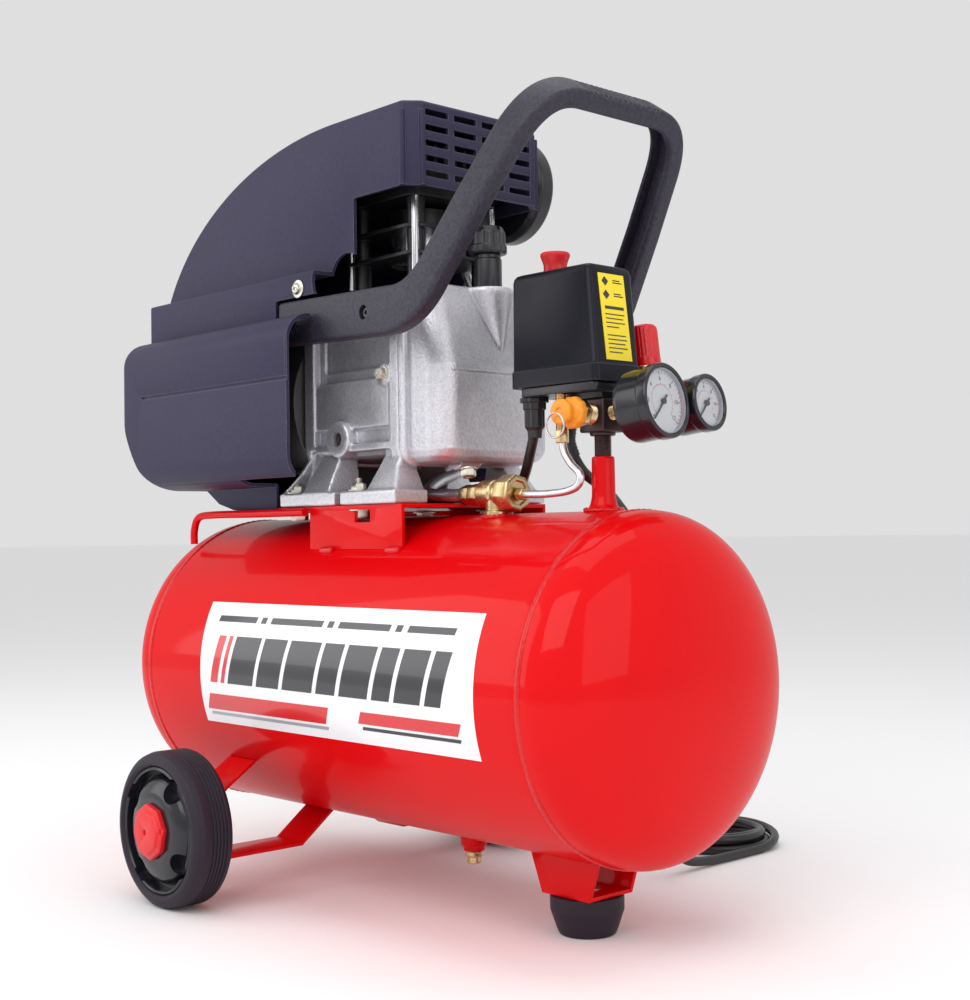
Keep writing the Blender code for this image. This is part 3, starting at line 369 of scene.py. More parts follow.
def round_screw(place, direction, radius, height):
    """A flanged washer-head screw with a cross recess."""
    profile = [(0.0, 0.0), (radius, 0.0), (radius, height * 0.25), (radius * 0.62, height * 0.32),
               (radius * 0.55, height * 0.85), (radius * 0.38, height), (0.0, height)]
    head = turned("screw", profile, "Z", (0, 0, 0), 28, 0.0, 0.0004)
    for angle in (0.0, 90.0):
        slot = box("slot", (-radius * 0.3, radius * 0.3), (-radius * 0.07, radius * 0.07),
                   (height * 0.45, height * 2))
        slot.data.transform(Matrix.Rotation(math.radians(angle + 20), 4, "Z"))
        cut(head, slot)
    return aim(head, place, direction)


def smooth_route(route, spacing):
    """Evenly spaced points on a smooth curve through the route's points."""
    points = [Vector(point) for point in route]
    fine = []
    for k in range(len(points) - 1):
        start = points[k]
        end = points[k + 1]
        before = points[k - 1] if k > 0 else start - (end - start)
        after = points[k + 2] if k + 2 < len(points) else end + (end - start)
        reach = (end - start).length / 3
        lead = start + (end - before).normalized() * reach
        trail = end - (after - start).normalized() * reach
        fine.extend(interpolate_bezier(start, lead, trail, end, 24)[:-1])
    fine.append(points[-1])
    total = sum((b - a).length for a, b in zip(fine, fine[1:]))
    count = max(int(round(total / spacing)), 2)
    even = [fine[0]]
    walked = 0.0
    target = total / count
    for a, b in zip(fine, fine[1:]):
        step = (b - a).length
        while walked + step >= target and len(even) < count:
            even.append(a.lerp(b, (target - walked) / step))
            target += total / count
        walked += step
    even.append(fine[-1])
    return even


def tube_mesh(name, points, radius_at, sides=24):
    """A round tube along points, with a radius from its share of the way, and flat ends."""
    rings = []
    across = None
    for k, point in enumerate(points):
        here = Vector(point)
        before = Vector(points[max(k - 1, 0)])
        after = Vector(points[min(k + 1, len(points) - 1)])
        along = (after - before).normalized()
        if across is None:
            across = along.orthogonal().normalized()
        across = (across - along * across.dot(along)).normalized()
        up = along.cross(across)
        radius = radius_at(k / (len(points) - 1))
        rings.append([here + across * radius * math.cos(2 * math.pi * s / sides)
                      + up * radius * math.sin(2 * math.pi * s / sides) for s in range(sides)])
    return loft(name, rings)


# ---------------------------------------------------------------- materials

def add_node(tree, kind, **values):
    node = tree.nodes.new(kind)
    for name, value in values.items():
        if hasattr(node, name):
            setattr(node, name, value)
        else:
            node.inputs[name.replace("_", " ")].default_value = value
    return node


def surface(name, colour, roughness, metallic=0.0, coat=0.0, grain=(600.0, 0.00008), mottle=0.12,
            polish=0.1, wear_and_edge_highlight=None, painted_crevice_shade=None, coat_roughness=0.05, mottle_scale=30.0,
            grain_detail=3.0, specular=0.5, speckle=0.0):
    """A procedural finish: mottled colour, uneven polish, grain bump, edges lightened partly as rubbed wear
    and partly as a painted edge highlight, and painted shade in crevices.
    """
    material = bpy.data.materials.new(name)
    material.use_nodes = True
    tree = material.node_tree
    shader = tree.nodes["Principled BSDF"]
    shader.inputs["Metallic"].default_value = metallic
    shader.inputs["Coat Weight"].default_value = coat
    shader.inputs["Coat Roughness"].default_value = coat_roughness
    shader.inputs["Specular IOR Level"].default_value = specular
    where = add_node(tree, "ShaderNodeTexCoord")
    cloud = add_node(tree, "ShaderNodeTexNoise", Scale=mottle_scale, Detail=4.0, Roughness=0.6)
    tree.links.new(where.outputs["Object"], cloud.inputs["Vector"])
    shades = add_node(tree, "ShaderNodeMix", data_type="RGBA")
    shades.inputs["A"].default_value = (*[c * (1 - mottle) for c in colour], 1.0)
    shades.inputs["B"].default_value = (*[min(c * (1 + mottle), 1.0) for c in colour], 1.0)
    tree.links.new(cloud.outputs["Fac"], shades.inputs["Factor"])
    result = shades.outputs["Result"]
    fine = add_node(tree, "ShaderNodeTexNoise", Scale=grain[0], Detail=grain_detail, Roughness=0.55)
    tree.links.new(where.outputs["Object"], fine.inputs["Vector"])
    if speckle > 0.0:
        dots = add_node(tree, "ShaderNodeMapRange")
        dots.inputs["From Min"].default_value = 0.36
        dots.inputs["From Max"].default_value = 0.64
        dots.inputs["To Min"].default_value = 1.0 - speckle
        dots.inputs["To Max"].default_value = 1.0 + speckle
        tree.links.new(fine.outputs["Fac"], dots.inputs["Value"])
        speckled = add_node(tree, "ShaderNodeVectorMath", operation="SCALE")
        tree.links.new(result, speckled.inputs[0])
        tree.links.new(dots.outputs["Result"], speckled.inputs["Scale"])
        result = speckled.outputs["Vector"]
    spread = add_node(tree, "ShaderNodeMapRange")
    spread.inputs["To Min"].default_value = max(roughness - polish, 0.02)
    spread.inputs["To Max"].default_value = min(roughness + polish, 1.0)
    tree.links.new(cloud.outputs["Fac"], spread.inputs["Value"])
    tree.links.new(spread.outputs["Result"], shader.inputs["Roughness"])
    bump = add_node(tree, "ShaderNodeBump")
    bump.inputs["Strength"].default_value = 1.0
    bump.inputs["Distance"].default_value = grain[1]
    tree.links.new(fine.outputs["Fac"], bump.inputs["Height"])
    tree.links.new(bump.outputs["Normal"], shader.inputs["Normal"])
    # Painted shade: hollows, found by low pointiness, are darkened towards the crevice colour.
    if painted_crevice_shade is not None:
        facts = add_node(tree, "ShaderNodeNewGeometry")
        sink = add_node(tree, "ShaderNodeMapRange")
        sink.inputs["From Min"].default_value = 0.4
        sink.inputs["From Max"].default_value = 0.51
        tree.links.new(facts.outputs["Pointiness"], sink.inputs["Value"])
        crevice_shade_mix = add_node(tree, "ShaderNodeMix", data_type="RGBA")
        crevice_shade_mix.inputs["A"].default_value = (*painted_crevice_shade, 1.0)
        tree.links.new(sink.outputs["Result"], crevice_shade_mix.inputs["Factor"])
        tree.links.new(result, crevice_shade_mix.inputs["B"])
        result = crevice_shade_mix.outputs["Result"]
    # Edges lightened in broken patches: partly rubbed wear, partly a painted edge highlight.
    if wear_and_edge_highlight is not None:
        round_edge = add_node(tree, "ShaderNodeBevel", samples=4)
        round_edge.inputs["Radius"].default_value = wear_and_edge_highlight[1]
        facts = add_node(tree, "ShaderNodeNewGeometry")
        match = add_node(tree, "ShaderNodeVectorMath", operation="DOT_PRODUCT")
        tree.links.new(round_edge.outputs["Normal"], match.inputs[0])
        tree.links.new(facts.outputs["Normal"], match.inputs[1])
        edge = add_node(tree, "ShaderNodeMapRange")
        edge.inputs["From Min"].default_value = 0.995
        edge.inputs["From Max"].default_value = 0.9
        edge.inputs["To Min"].default_value = 0.0
        edge.inputs["To Max"].default_value = wear_and_edge_highlight[2]
        tree.links.new(match.outputs["Value"], edge.inputs["Value"])
        broken = add_node(tree, "ShaderNodeMath", operation="MULTIPLY")
        tree.links.new(edge.outputs["Result"], broken.inputs[0])
        tree.links.new(fine.outputs["Fac"], broken.inputs[1])
        worn_and_lit_edge = add_node(tree, "ShaderNodeMix", data_type="RGBA")
        worn_and_lit_edge.inputs["B"].default_value = (*wear_and_edge_highlight[0], 1.0)
        tree.links.new(broken.outputs["Value"], worn_and_lit_edge.inputs["Factor"])
        tree.links.new(result, worn_and_lit_edge.inputs["A"])
        result = worn_and_lit_edge.outputs["Result"]
    tree.links.new(result, shader.inputs["Base Color"])
    return material


# Each edge colour below is lighter than its base: rubbed wear together with a painted edge highlight.
RED = surface("red_enamel", (0.69, 0.001, 0.003), 0.38, coat=0.3, grain=(220.0, 0.00002), mottle=0.05,
              polish=0.06, wear_and_edge_highlight=((0.8, 0.06, 0.05), 0.0008, 0.35), coat_roughness=0.05, specular=0.04)
RED_SEAM = surface("red_weld", (0.62, 0.003, 0.006), 0.36, coat=0.5, grain=(420.0, 0.0002), mottle=0.1,
                   specular=0.15)
RED_PLASTIC = surface("red_plastic", (0.72, 0.008, 0.012), 0.38, grain=(900.0, 0.00003), mottle=0.06,
                      wear_and_edge_highlight=((0.9, 0.12, 0.08), 0.0005, 0.4))
GLOSS_RED = surface("gloss_red_plastic", (0.66, 0.005, 0.01), 0.24, grain=(300.0, 0.00004), mottle=0.06,
                    wear_and_edge_highlight=((0.9, 0.12, 0.08), 0.0005, 0.4))
RUBBER = surface("rubber", (0.017, 0.01, 0.02), 0.55, grain=(900.0, 0.00009), mottle=0.25,
                 wear_and_edge_highlight=((0.06, 0.06, 0.07), 0.0008, 0.7), specular=0.35)
HUB = surface("hub_plastic", (0.012, 0.012, 0.017), 0.2, grain=(500.0, 0.00002), mottle=0.2, polish=0.07,
              wear_and_edge_highlight=((0.05, 0.05, 0.06), 0.0006, 0.5))
# The cast aluminium carries painted shade in its hollows, through its crevice colour.
CAST_METAL = surface("cast_aluminium", (0.66, 0.66, 0.7), 0.42, metallic=0.72, grain=(520.0, 0.00045),
                     mottle=0.12, painted_crevice_shade=(0.09, 0.08, 0.11), mottle_scale=60.0, speckle=0.1)
BLACK_CASTING = surface("black_casting", (0.01, 0.01, 0.012), 0.34, metallic=0.2,
                        grain=(700.0, 0.00012), mottle=0.3, wear_and_edge_highlight=((0.3, 0.29, 0.28), 0.0006, 0.5))
BRIGHT_STEEL = surface("bright_steel", (0.6, 0.6, 0.62), 0.26, metallic=1.0, grain=(800.0, 0.00003),
                       mottle=0.1, wear_and_edge_highlight=((0.85, 0.85, 0.87), 0.0004, 0.6))
ZINC = surface("zinc_steel", (0.62, 0.6, 0.53), 0.3, metallic=0.95, grain=(900.0, 0.00004), mottle=0.18,
               mottle_scale=150.0, wear_and_edge_highlight=((0.85, 0.84, 0.8), 0.0004, 0.6))
DARK_PLASTIC = surface("shroud_plastic", (0.028, 0.024, 0.058), 0.5, grain=(480.0, 0.00016), mottle=0.08,
                       polish=0.05, wear_and_edge_highlight=((0.22, 0.22, 0.27), 0.001, 0.9), specular=0.25, speckle=0.1)
HANDLE_PLASTIC = surface("handle_plastic", (0.024, 0.021, 0.036), 0.5, grain=(430.0, 0.0003),
                         mottle=0.18, polish=0.06, wear_and_edge_highlight=((0.14, 0.14, 0.17), 0.001, 0.7), specular=0.42,
                         speckle=0.35)
BLACK_PLASTIC = surface("black_plastic", (0.016, 0.016, 0.021), 0.3, grain=(700.0, 0.00005), mottle=0.2,
                        wear_and_edge_highlight=((0.09, 0.09, 0.11), 0.0006, 0.6))
SWITCH_PLASTIC = surface("switch_plastic", (0.008, 0.008, 0.014), 0.33, grain=(800.0, 0.00004),
                         mottle=0.14, wear_and_edge_highlight=((0.22, 0.22, 0.27), 0.0008, 0.7), specular=0.18)
GAUGE_BLACK = surface("gauge_black", (0.008, 0.008, 0.013), 0.22, coat=0.15, grain=(700.0, 0.00003),
                      mottle=0.2, wear_and_edge_highlight=((0.12, 0.12, 0.14), 0.0006, 0.5))
DARK_STEEL = surface("dark_steel", (0.06, 0.036, 0.04), 0.36, metallic=0.7, grain=(500.0, 0.0001),
                     mottle=0.3, wear_and_edge_highlight=((0.3, 0.22, 0.2), 0.0006, 0.8))
BRASS = surface("brass", (0.62, 0.46, 0.24), 0.28, metallic=1.0, grain=(420.0, 0.00016), mottle=0.16,
                mottle_scale=120.0, wear_and_edge_highlight=((0.9, 0.78, 0.52), 0.0006, 0.8))
ORANGE = surface("orange_plastic", (0.86, 0.3, 0.01), 0.34, grain=(700.0, 0.00005), mottle=0.08,
                 wear_and_edge_highlight=((1.0, 0.55, 0.12), 0.0006, 0.6))
BRIGHT_TUBE = surface("bright_tube", (0.74, 0.74, 0.77), 0.3, metallic=0.9, grain=(350.0, 0.00005),
                      mottle=0.08, mottle_scale=90.0)
LEAD_RUBBER = surface("lead_rubber", (0.014, 0.014, 0.016), 0.36, grain=(500.0, 0.00005), mottle=0.2)
STATOR_STEEL = surface("stator_steel", (0.09, 0.085, 0.085), 0.46, metallic=0.7, grain=(700.0, 0.0001),
                       mottle=0.2, wear_and_edge_highlight=((0.35, 0.34, 0.33), 0.0006, 0.8))
PISTON_ALLOY = surface("piston_alloy", (0.62, 0.62, 0.64), 0.26, metallic=1.0, grain=(900.0, 0.00003),
                       mottle=0.08)
FAN_PLASTIC = surface("fan_plastic", (0.42, 0.05, 0.03), 0.44, grain=(600.0, 0.00006), mottle=0.12)
LABEL_WHITE = surface("label_white", (0.86, 0.86, 0.88), 0.26, coat=0.5, grain=(160.0, 0.00002),
                      mottle=0.02, polish=0.05)
LABEL_RED = surface("label_red", (0.66, 0.01, 0.014), 0.26, coat=0.5, grain=(160.0, 0.00002),
                    mottle=0.03, polish=0.05)
LABEL_BLACK = surface("label_black", (0.012, 0.012, 0.018), 0.26, coat=0.5, grain=(160.0, 0.00002),
                      mottle=0.15, polish=0.05)
LABEL_GREY = surface("label_grey", (0.36, 0.36, 0.4), 0.26, coat=0.5, grain=(160.0, 0.00002),
                     mottle=0.04, polish=0.05)
LABEL_YELLOW = surface("label_yellow", (0.9, 0.7, 0.02), 0.34, grain=(300.0, 0.00002), mottle=0.04)
DIAL_WHITE = surface("dial_white", (0.8, 0.8, 0.82), 0.45, grain=(900.0, 0.00002), mottle=0.03)
# Grey stands for the white inner wall of the gauge in shade: painted shade.
DIAL_WALL_SHADE = surface("dial_wall_painted_shade", (0.5, 0.49, 0.55), 0.45, grain=(900.0, 0.00002), mottle=0.05)
DIAL_BLACK = surface("dial_black", (0.015, 0.015, 0.02), 0.45, grain=(900.0, 0.00002), mottle=0.1)
DIAL_RED = surface("dial_red", (0.62, 0.02, 0.03), 0.45, grain=(900.0, 0.00002), mottle=0.05)


def clear_lens():
    """A clear plastic lens with a faint unevenness."""
    material = surface("clear_lens", (0.97, 0.98, 0.99), 0.03, grain=(60.0, 0.000004), mottle=0.01,
                       polish=0.01)
    shader = material.node_tree.nodes["Principled BSDF"]
    shader.inputs["Transmission Weight"].default_value = 1.0
    shader.inputs["IOR"].default_value = 1.3
    return material


LENS = clear_lens()


# ---------------------------------------------------------------- placing pieces

def piece(item, name, look, body, stands_for=(), angle=38.0):
    """Name a finished object, paint it and hang it on its body."""
    item.name = name
    item.data.name = name
    if look is not None:
        item.data.materials.clear()
        item.data.materials.append(look)
    if item.type == "MESH":
        smooth_shade(item, angle)
    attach(item, body)
    if stands_for:
        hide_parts(*stands_for)
    return item


def repaint(look, *names):
    for name in names:
        mesh = NODES[name].data
        mesh.materials.clear()
        mesh.materials.append(look)


# ---------------------------------------------------------------- camera and cord

def make_camera():
    yaw = math.radians(CAMERA_YAW)
    pitch = math.radians(CAMERA_PITCH)
    roll = math.radians(CAMERA_ROLL)
    back = Vector((math.sin(yaw) * math.cos(pitch), -math.cos(yaw) * math.cos(pitch), math.sin(pitch)))
    right = Vector((math.cos(yaw), math.sin(yaw), 0.0))
    up = back.cross(right)
    turned_right = right * math.cos(roll) + up * math.sin(roll)
    turned_up = up * math.cos(roll) - right * math.sin(roll)
    lens = bpy.data.cameras.new("camera")
    lens.lens = CAMERA_LENS
    lens.sensor_width = 36.0
    lens.clip_start = 0.05
    camera = link(bpy.data.objects.new("camera", lens))
    place = Matrix((turned_right, turned_up, back)).transposed().to_4x4()
    place.translation = CAMERA_PLACE
    camera.matrix_world = place
    bpy.context.scene.camera = camera


def cord_route():
    """From the gland, behind the tank, down to the floor and along it to the coil's side."""
    beside = COIL_CENTRE[0] + COIL_R + COIL_BAND / 2 + CORD_R + 0.0004
    start = SWITCH_Z[0] - 2 * GAP - SWITCH_BASE - 0.02 - 3 * GAP
    return [(0.144, 0.012, start), (0.144, 0.012, start - 0.012), (0.147, 0.023, 0.33),
            (0.145, 0.045, 0.319), (0.135, 0.072, 0.308), (0.13, 0.102, 0.282),
            (0.125, 0.126, 0.244), (0.12, 0.138, 0.196), (0.111, 0.144, 0.14),
            (0.103, 0.152, 0.08), (0.099, 0.166, 0.035), (0.097, 0.19, 0.012),
            (beside, 0.22, CORD_FLOOR + 0.001), (beside, 0.26, CORD_FLOOR), (beside, 0.298, CORD_FLOOR)]


def coil_points():
    """Turns of the coil: up on to the second layer, in, down, out, and off towards the plug."""
    outer = COIL_R + CORD_R
    inner = COIL_R - CORD_R - 0.0002
    pitch = 2 * CORD_R + 0.0004
    points = []
    turns = 4.5
    steps = int(turns * 32)
    for k in range(1, steps + 1):
        turn = turns * k / steps
        climb = min(turn / 0.32, 1.0) * math.pi / 2
        radius = outer + pitch * math.cos(climb)
        level = CORD_FLOOR + pitch * math.sin(climb)
        if turn > 0.9:
            share = min(max((turn - 0.9) / 0.35, 0.0), 1.0)
            share = share * share * (3 - 2 * share)
            radius = outer + (inner - outer) * share
        if turn > 2.0:
            share = min(max((turn - 2.0) / 0.3, 0.0), 1.0)
            level = CORD_FLOOR + pitch * (1 - share * share * (3 - 2 * share))
        if turn > 3.1:
            share = min(max((turn - 3.1) / 0.35, 0.0), 1.0)
            share = share * share * (3 - 2 * share)
            radius = inner + (outer - inner) * share
        angle = 2 * math.pi * turn
        points.append((COIL_CENTRE[0] + radius * math.cos(angle),
                       COIL_CENTRE[1] + radius * math.sin(angle), level))
    return points


def make_cord():
    even = smooth_route(cord_route(), 0.006)
    end_x = COIL_CENTRE[0] - COIL_R
    plug_y = COIL_CENTRE[1] - 0.038
    turns = coil_points()
    tail = smooth_route([turns[-1], (turns[-1][0] + 0.0006, turns[-1][1] - 0.012, turns[-1][2]),
                         (end_x - 0.0008, plug_y + 0.01, 0.005), (end_x, plug_y - 0.004, 0.0053)],
                        0.006)[1:]
    points = [tuple(p) for p in even] + turns + [tuple(p) for p in tail]
    line = bpy.data.curves.new("mains_cord", "CURVE")
    line.dimensions = "3D"
    line.bevel_depth = CORD_R
    line.bevel_resolution = 5
    line.use_fill_caps = True
    spline = line.splines.new("POLY")
    spline.points.add(len(points) - 1)
    for k, point in enumerate(points):
        spline.points[k].co = (*point, 1.0)
    spline.use_smooth = True
    item = link(bpy.data.objects.new("mains_cord", line))
    piece(item, "mains_cord", LEAD_RUBBER, "machine", ("power_cord", "cord_coil"))
    length = sum((Vector(b) - Vector(a)).length for a, b in zip(points, points[1:]))
    return item, points[0], length


def make_plug():
    """A flat two-pin plug with finger ribs, a shouldered body and a ribbed cord sleeve."""
    x = COIL_CENTRE[0] - COIL_R
    start = COIL_CENTRE[1] - 0.038
    rings = []
    sections = ((0.0, 0.0052, 0.005, 0.0053), (0.002, 0.0056, 0.0053, 0.0056),
                (0.024, 0.0068, 0.0066, 0.0078), (0.0275, 0.0095, 0.0076, 0.0086),
                (0.031, 0.0148, 0.0084, 0.009), (0.034, 0.0158, 0.0085, 0.009),
                (0.038, 0.015, 0.008, 0.009), (0.042, 0.0158, 0.0085, 0.009),
                (0.046, 0.0152, 0.0081, 0.009), (0.05, 0.0168, 0.0085, 0.009),
                (0.055, 0.0185, 0.0085, 0.009), (0.0585, 0.018, 0.0082, 0.009),
                (0.06, 0.0165, 0.0072, 0.009))
    for reach, half_wide, half_high, centre_z in sections:
        outline = rounded_rectangle(half_wide, half_high, half_high * 0.62, 6)
        rings.append([(x + u, start - reach, centre_z + v) for u, v in outline])
    body = loft("plug_body", rings)
    parts = [body]
    for k in range(5):
        reach = 0.004 + k * 0.0042
        half = 0.0064 + k * 0.0002
        outline = rounded_rectangle(half, half * 0.86, half * 0.6, 5)
        level = 0.0061 + k * 0.0004
        rings = [[(x + u, start - reach - step, level + v) for u, v in outline] for step in (0, 0.0018)]
        parts.append(loft("rib", rings))
    plug = piece(merge("plug", parts), "mains_plug", LEAD_RUBBER, "machine",
                 ("power_plug",))
    pins = []
    for offset in (-0.0065, 0.0065):
        profile = heights(start, (0.0, -0.078), (0.0016, -0.078), (0.0023, -0.0765),
                          (0.0023, -0.059), (0.0, -0.059))
        pins.append(turned("pin", profile, "Y", (x + offset, 0, 0.009), 20, 0.0, 0.0003))
    prongs = piece(merge("pins", pins), "plug_pins", BRIGHT_STEEL, "machine")
    return plug, prongs


def make_glands():
    """Ribbed nuts and tapered sleeves where the cord and the motor lead leave the switch."""
    top = SWITCH_Z[0] - 2 * GAP - SWITCH_BASE
    profile = heights(top, (0.0, 0.0), (0.008, 0.0), (0.008, -0.0095), (0.0066, -0.01),
                      (0.0066, -0.0115), (0.006, -0.012), (0.006, -0.0138), (0.0064, -0.014),
                      (0.0064, -0.0156), (0.0057, -0.0158), (0.0057, -0.0176), (0.006, -0.0178),
                      (0.0058, -0.0198), (0.0, -0.02))
    first = turned("gland", profile, "Z", (0.144, 0.012, 0), 40,
                   waves=lambda a, r, h: r * (1 + 0.05 * math.cos(10 * a)) if r > 0.0075 else r)
    piece(first, "cord_gland_nut", BLACK_PLASTIC, "machine", ("cord_gland",))
    start = Vector(cord_route()[0])
    sleeve_points = smooth_route(cord_route()[:4], 0.0015)[:16]
    boot = tube_mesh("boot", [start + Vector((0, 0, 0.0006))] + sleeve_points[1:],
                     lambda share: 0.0058 - 0.0012 * share
                     + (0.0004 if int(share * 15) % 2 else 0.0), 24)
    boot = piece(boot, "cord_sleeve", BLACK_PLASTIC, "machine")
    wide = 0.0074
    profile = heights(top, (0.0, 0.0002), (0.0105, 0.0002), (0.0105, -0.003), (0.0085, -0.0032),
                      (0.0085, -0.008), (wide, -0.0085), (wide, -0.021), (0.0055, -0.0235),
                      (0.005, -0.029), (0.0, -0.029))
    second = turned("gland", profile, "Z", (0.131, -0.01, 0), 40, 0.0, 0.0005,
                    waves=lambda a, r, h: r * (1 + 0.05 * math.cos(12 * a)) if r > 0.0072 else r)
    piece(second, "lead_gland_nut", BLACK_PLASTIC, "machine")
    return boot


make_camera()
cord_item, cord_exit, cord_length = make_cord()
plug_item, pin_item = make_plug()
boot_item = make_glands()


# ---------------------------------------------------------------- tank

def dome_points(radius, depth, steps, fullness=2.3):
    points = []
    for k in range(1, steps + 1):
        angle = 0.5 * math.pi * k / steps
        along = depth * abs(math.cos(angle)) ** (2 / fullness)
        across = radius * abs(math.sin(angle)) ** (2 / fullness)
        points.append((across, along))
    points[-1] = (radius, 0.0)
    return points


def make_tank():
    """Shell and pressed heads in one skin, with the joggled joint and its weld bead at each end."""
    step_in = 0.0007
    front = [(r, SHELL_HALF + h) for r, h in dome_points(TANK_R, DOME_DEPTH, 26)]
    joint = [(TANK_R - step_in * 0.5, SHELL_HALF - 0.0035), (TANK_R, SHELL_HALF - 0.006)]
    half = [(0.0, SHELL_HALF + DOME_DEPTH)] + front + joint
    half += [(TANK_R, SHELL_HALF - 0.012 - 0.036 * k) for k in range(6)]
    profile = half + [(r, -h) for r, h in reversed(half)]
    skin = turned("tank", profile, "X", (0, 0, TANK_Z), 144)
    piece(skin, "tank_skin", RED, "machine",
          ("tank_shell", "tank_head_front", "tank_head_rear"), 20.0)
    for side, name in ((1, "weld_front"), (-1, "weld_rear")):
        loop = []
        for k in range(10):
            angle = 2 * math.pi * k / 10
            loop.append((TANK_R - 0.0004 + 0.0013 * math.sin(angle),
                         side * (SHELL_HALF - 0.0035) + 0.0026 * math.cos(angle)))
        bead = turned(name, loop, "X", (0, 0, TANK_Z), 420,
                      waves=lambda a, r, h: r + (0.00022 * math.sin(130 * a)
                                                 + 0.00012 * math.sin(7 * a)) * (r > TANK_R - 0.0004))
        piece(bead, name, RED_SEAM, "machine", (), 80.0)
    run = []
    for k in range(121):
        x = -SHELL_HALF + 0.006 + (2 * SHELL_HALF - 0.012) * k / 120
        run.append(Vector((x, 0.058, TANK_Z + math.sqrt((TANK_R - 0.001) ** 2 - 0.058 ** 2))))
    seam = tube_mesh("seam", run, lambda share: 0.0016 + 0.00018 * math.sin(share * 520), 14)
    piece(seam, "weld_long", RED_SEAM, "machine", (), 80.0)


def weld_ring(name, place, direction, radius, size, wobble=18):
    """A fillet of weld round a pipe or stub that stands on the tank."""
    points = []
    for k in range(97):
        angle = 2 * math.pi * k / 96
        points.append(Vector((radius * math.cos(angle), radius * math.sin(angle),
                              0.0003 * math.sin(wobble * angle))))
    rings = []
    for k in range(96):
        here = points[k]
        outward = Vector((here.x, here.y, 0)).normalized()
        ring = []
        for s in range(8):
            turn = 2 * math.pi * s / 8
            grow = size * (1 + 0.1 * math.sin(wobble * 2 * math.pi * k / 96))
            ring.append(here + outward * grow * math.cos(turn) + Vector((0, 0, 1)) * grow * math.sin(turn))
        rings.append(ring)
    bead = loft(name, rings, closed=True)
    return aim(bead, place, direction)


def tank_patch(corners, lift, columns, rows):
    """A thin patch on the near side of the tank: corners are (x, height angle) at the four corners."""
    points = []
    for row in range(rows + 1):
        v = row / rows
        for column in range(columns + 1):
            u = column / columns
            low = Vector(corners[0]).lerp(Vector(corners[1]), u)
            high = Vector(corners[3]).lerp(Vector(corners[2]), u)
            x, angle = low.lerp(high, v)
            reach = TANK_R + lift
            points.append(Vector((x, -reach * math.cos(angle), TANK_Z + reach * math.sin(angle))))
    faces = []
    for row in range(rows):
        for column in range(columns):
            k = row * (columns + 1) + column
            faces.append((k, k + 1, k + columns + 2, k + columns + 1))
    patch = make_mesh("patch", points, faces)
    thick = patch.modifiers.new("thick", "SOLIDIFY")
    thick.thickness = 0.00012
    thick.offset = 0.0
    return settle(patch)


LABEL_X = (-0.145, 0.184)
LABEL_ANGLE = (math.radians(-19.6), math.radians(26.7))


def label_shape(u0, u1, v0, v1, lean, look, lift, columns=4):
    """A slanted block on the label, in shares of its width and height."""
    def spot(u, v):
        x = LABEL_X[0] + (LABEL_X[1] - LABEL_X[0]) * u
        return (x, LABEL_ANGLE[0] + (LABEL_ANGLE[1] - LABEL_ANGLE[0]) * v)
    corners = [spot(u0, v0), spot(u1, v0), spot(u1 + lean, v1), spot(u0 + lean, v1)]
    patch = tank_patch(corners, lift, columns, max(2, int((v1 - v0) * 24)))
    patch.data.materials.append(look)
    return patch


def make_label():
    base = label_shape(0.0, 1.0, 0.0, 1.0, 0.0, LABEL_WHITE, 0.00015, 24)
    piece(base, "label_sheet", LABEL_WHITE, "machine")
    inks = []
    for u0, u1 in ((0.055, 0.215), (0.235, 0.255), (0.275, 0.475), (0.495, 0.515), (0.535, 0.715),
                   (0.735, 0.755), (0.775, 0.925)):
        inks.append(label_shape(u0, u1, 0.835, 0.885, 0.004, LABEL_BLACK, 0.00035))
    for u0, u1 in ((0.045, 0.075), (0.09, 0.105)):
        inks.append(label_shape(u0, u1, 0.34, 0.72, 0.03, LABEL_RED, 0.00035))
    for u0, u1 in ((0.12, 0.225), (0.24, 0.33), (0.345, 0.46), (0.475, 0.545), (0.56, 0.66),
                   (0.675, 0.735), (0.75, 0.835), (0.85, 0.9)):
        inks.append(label_shape(u0, u1, 0.34, 0.72, 0.03, LABEL_BLACK, 0.00035))
    inks.append(label_shape(0.02, 0.5, 0.115, 0.245, 0.018, LABEL_RED, 0.00035, 12))
    inks.append(label_shape(0.03, 0.505, 0.07, 0.095, 0.004, LABEL_GREY, 0.00035, 12))
    inks.append(label_shape(0.62, 0.945, 0.155, 0.245, 0.014, LABEL_RED, 0.00035, 10))
    inks.append(label_shape(0.632, 0.95, 0.11, 0.135, 0.004, LABEL_BLACK, 0.00035, 10))
    piece(merge("ink", inks), "label_stripes", None, "machine")


def make_riser():
    flare = 0.0135
    profile = [(0.0, TANK_Z + TANK_R - 0.008), (flare, TANK_Z + TANK_R - 0.008),
               (flare, TANK_Z + TANK_R - 0.001), (0.0098, TANK_Z + TANK_R + 0.004),
               (0.0084, TANK_Z + TANK_R + 0.01), (0.0081, RISER_TOP - 0.0012),
               (0.0074, RISER_TOP), (0.0, RISER_TOP)]
    pipe = turned("pipe", profile, "Z", (RISER_X, 0, 0), 64, 0.0, 0.0015)
    piece(pipe, "riser", RED, "machine", ("riser_pipe",))
    ring = weld_ring("ring", (RISER_X, 0, TANK_Z + TANK_R + 0.0004), (0, 0, 1), 0.0128, 0.0018)
    piece(ring, "weld_riser", RED_SEAM, "machine", (), 80.0)


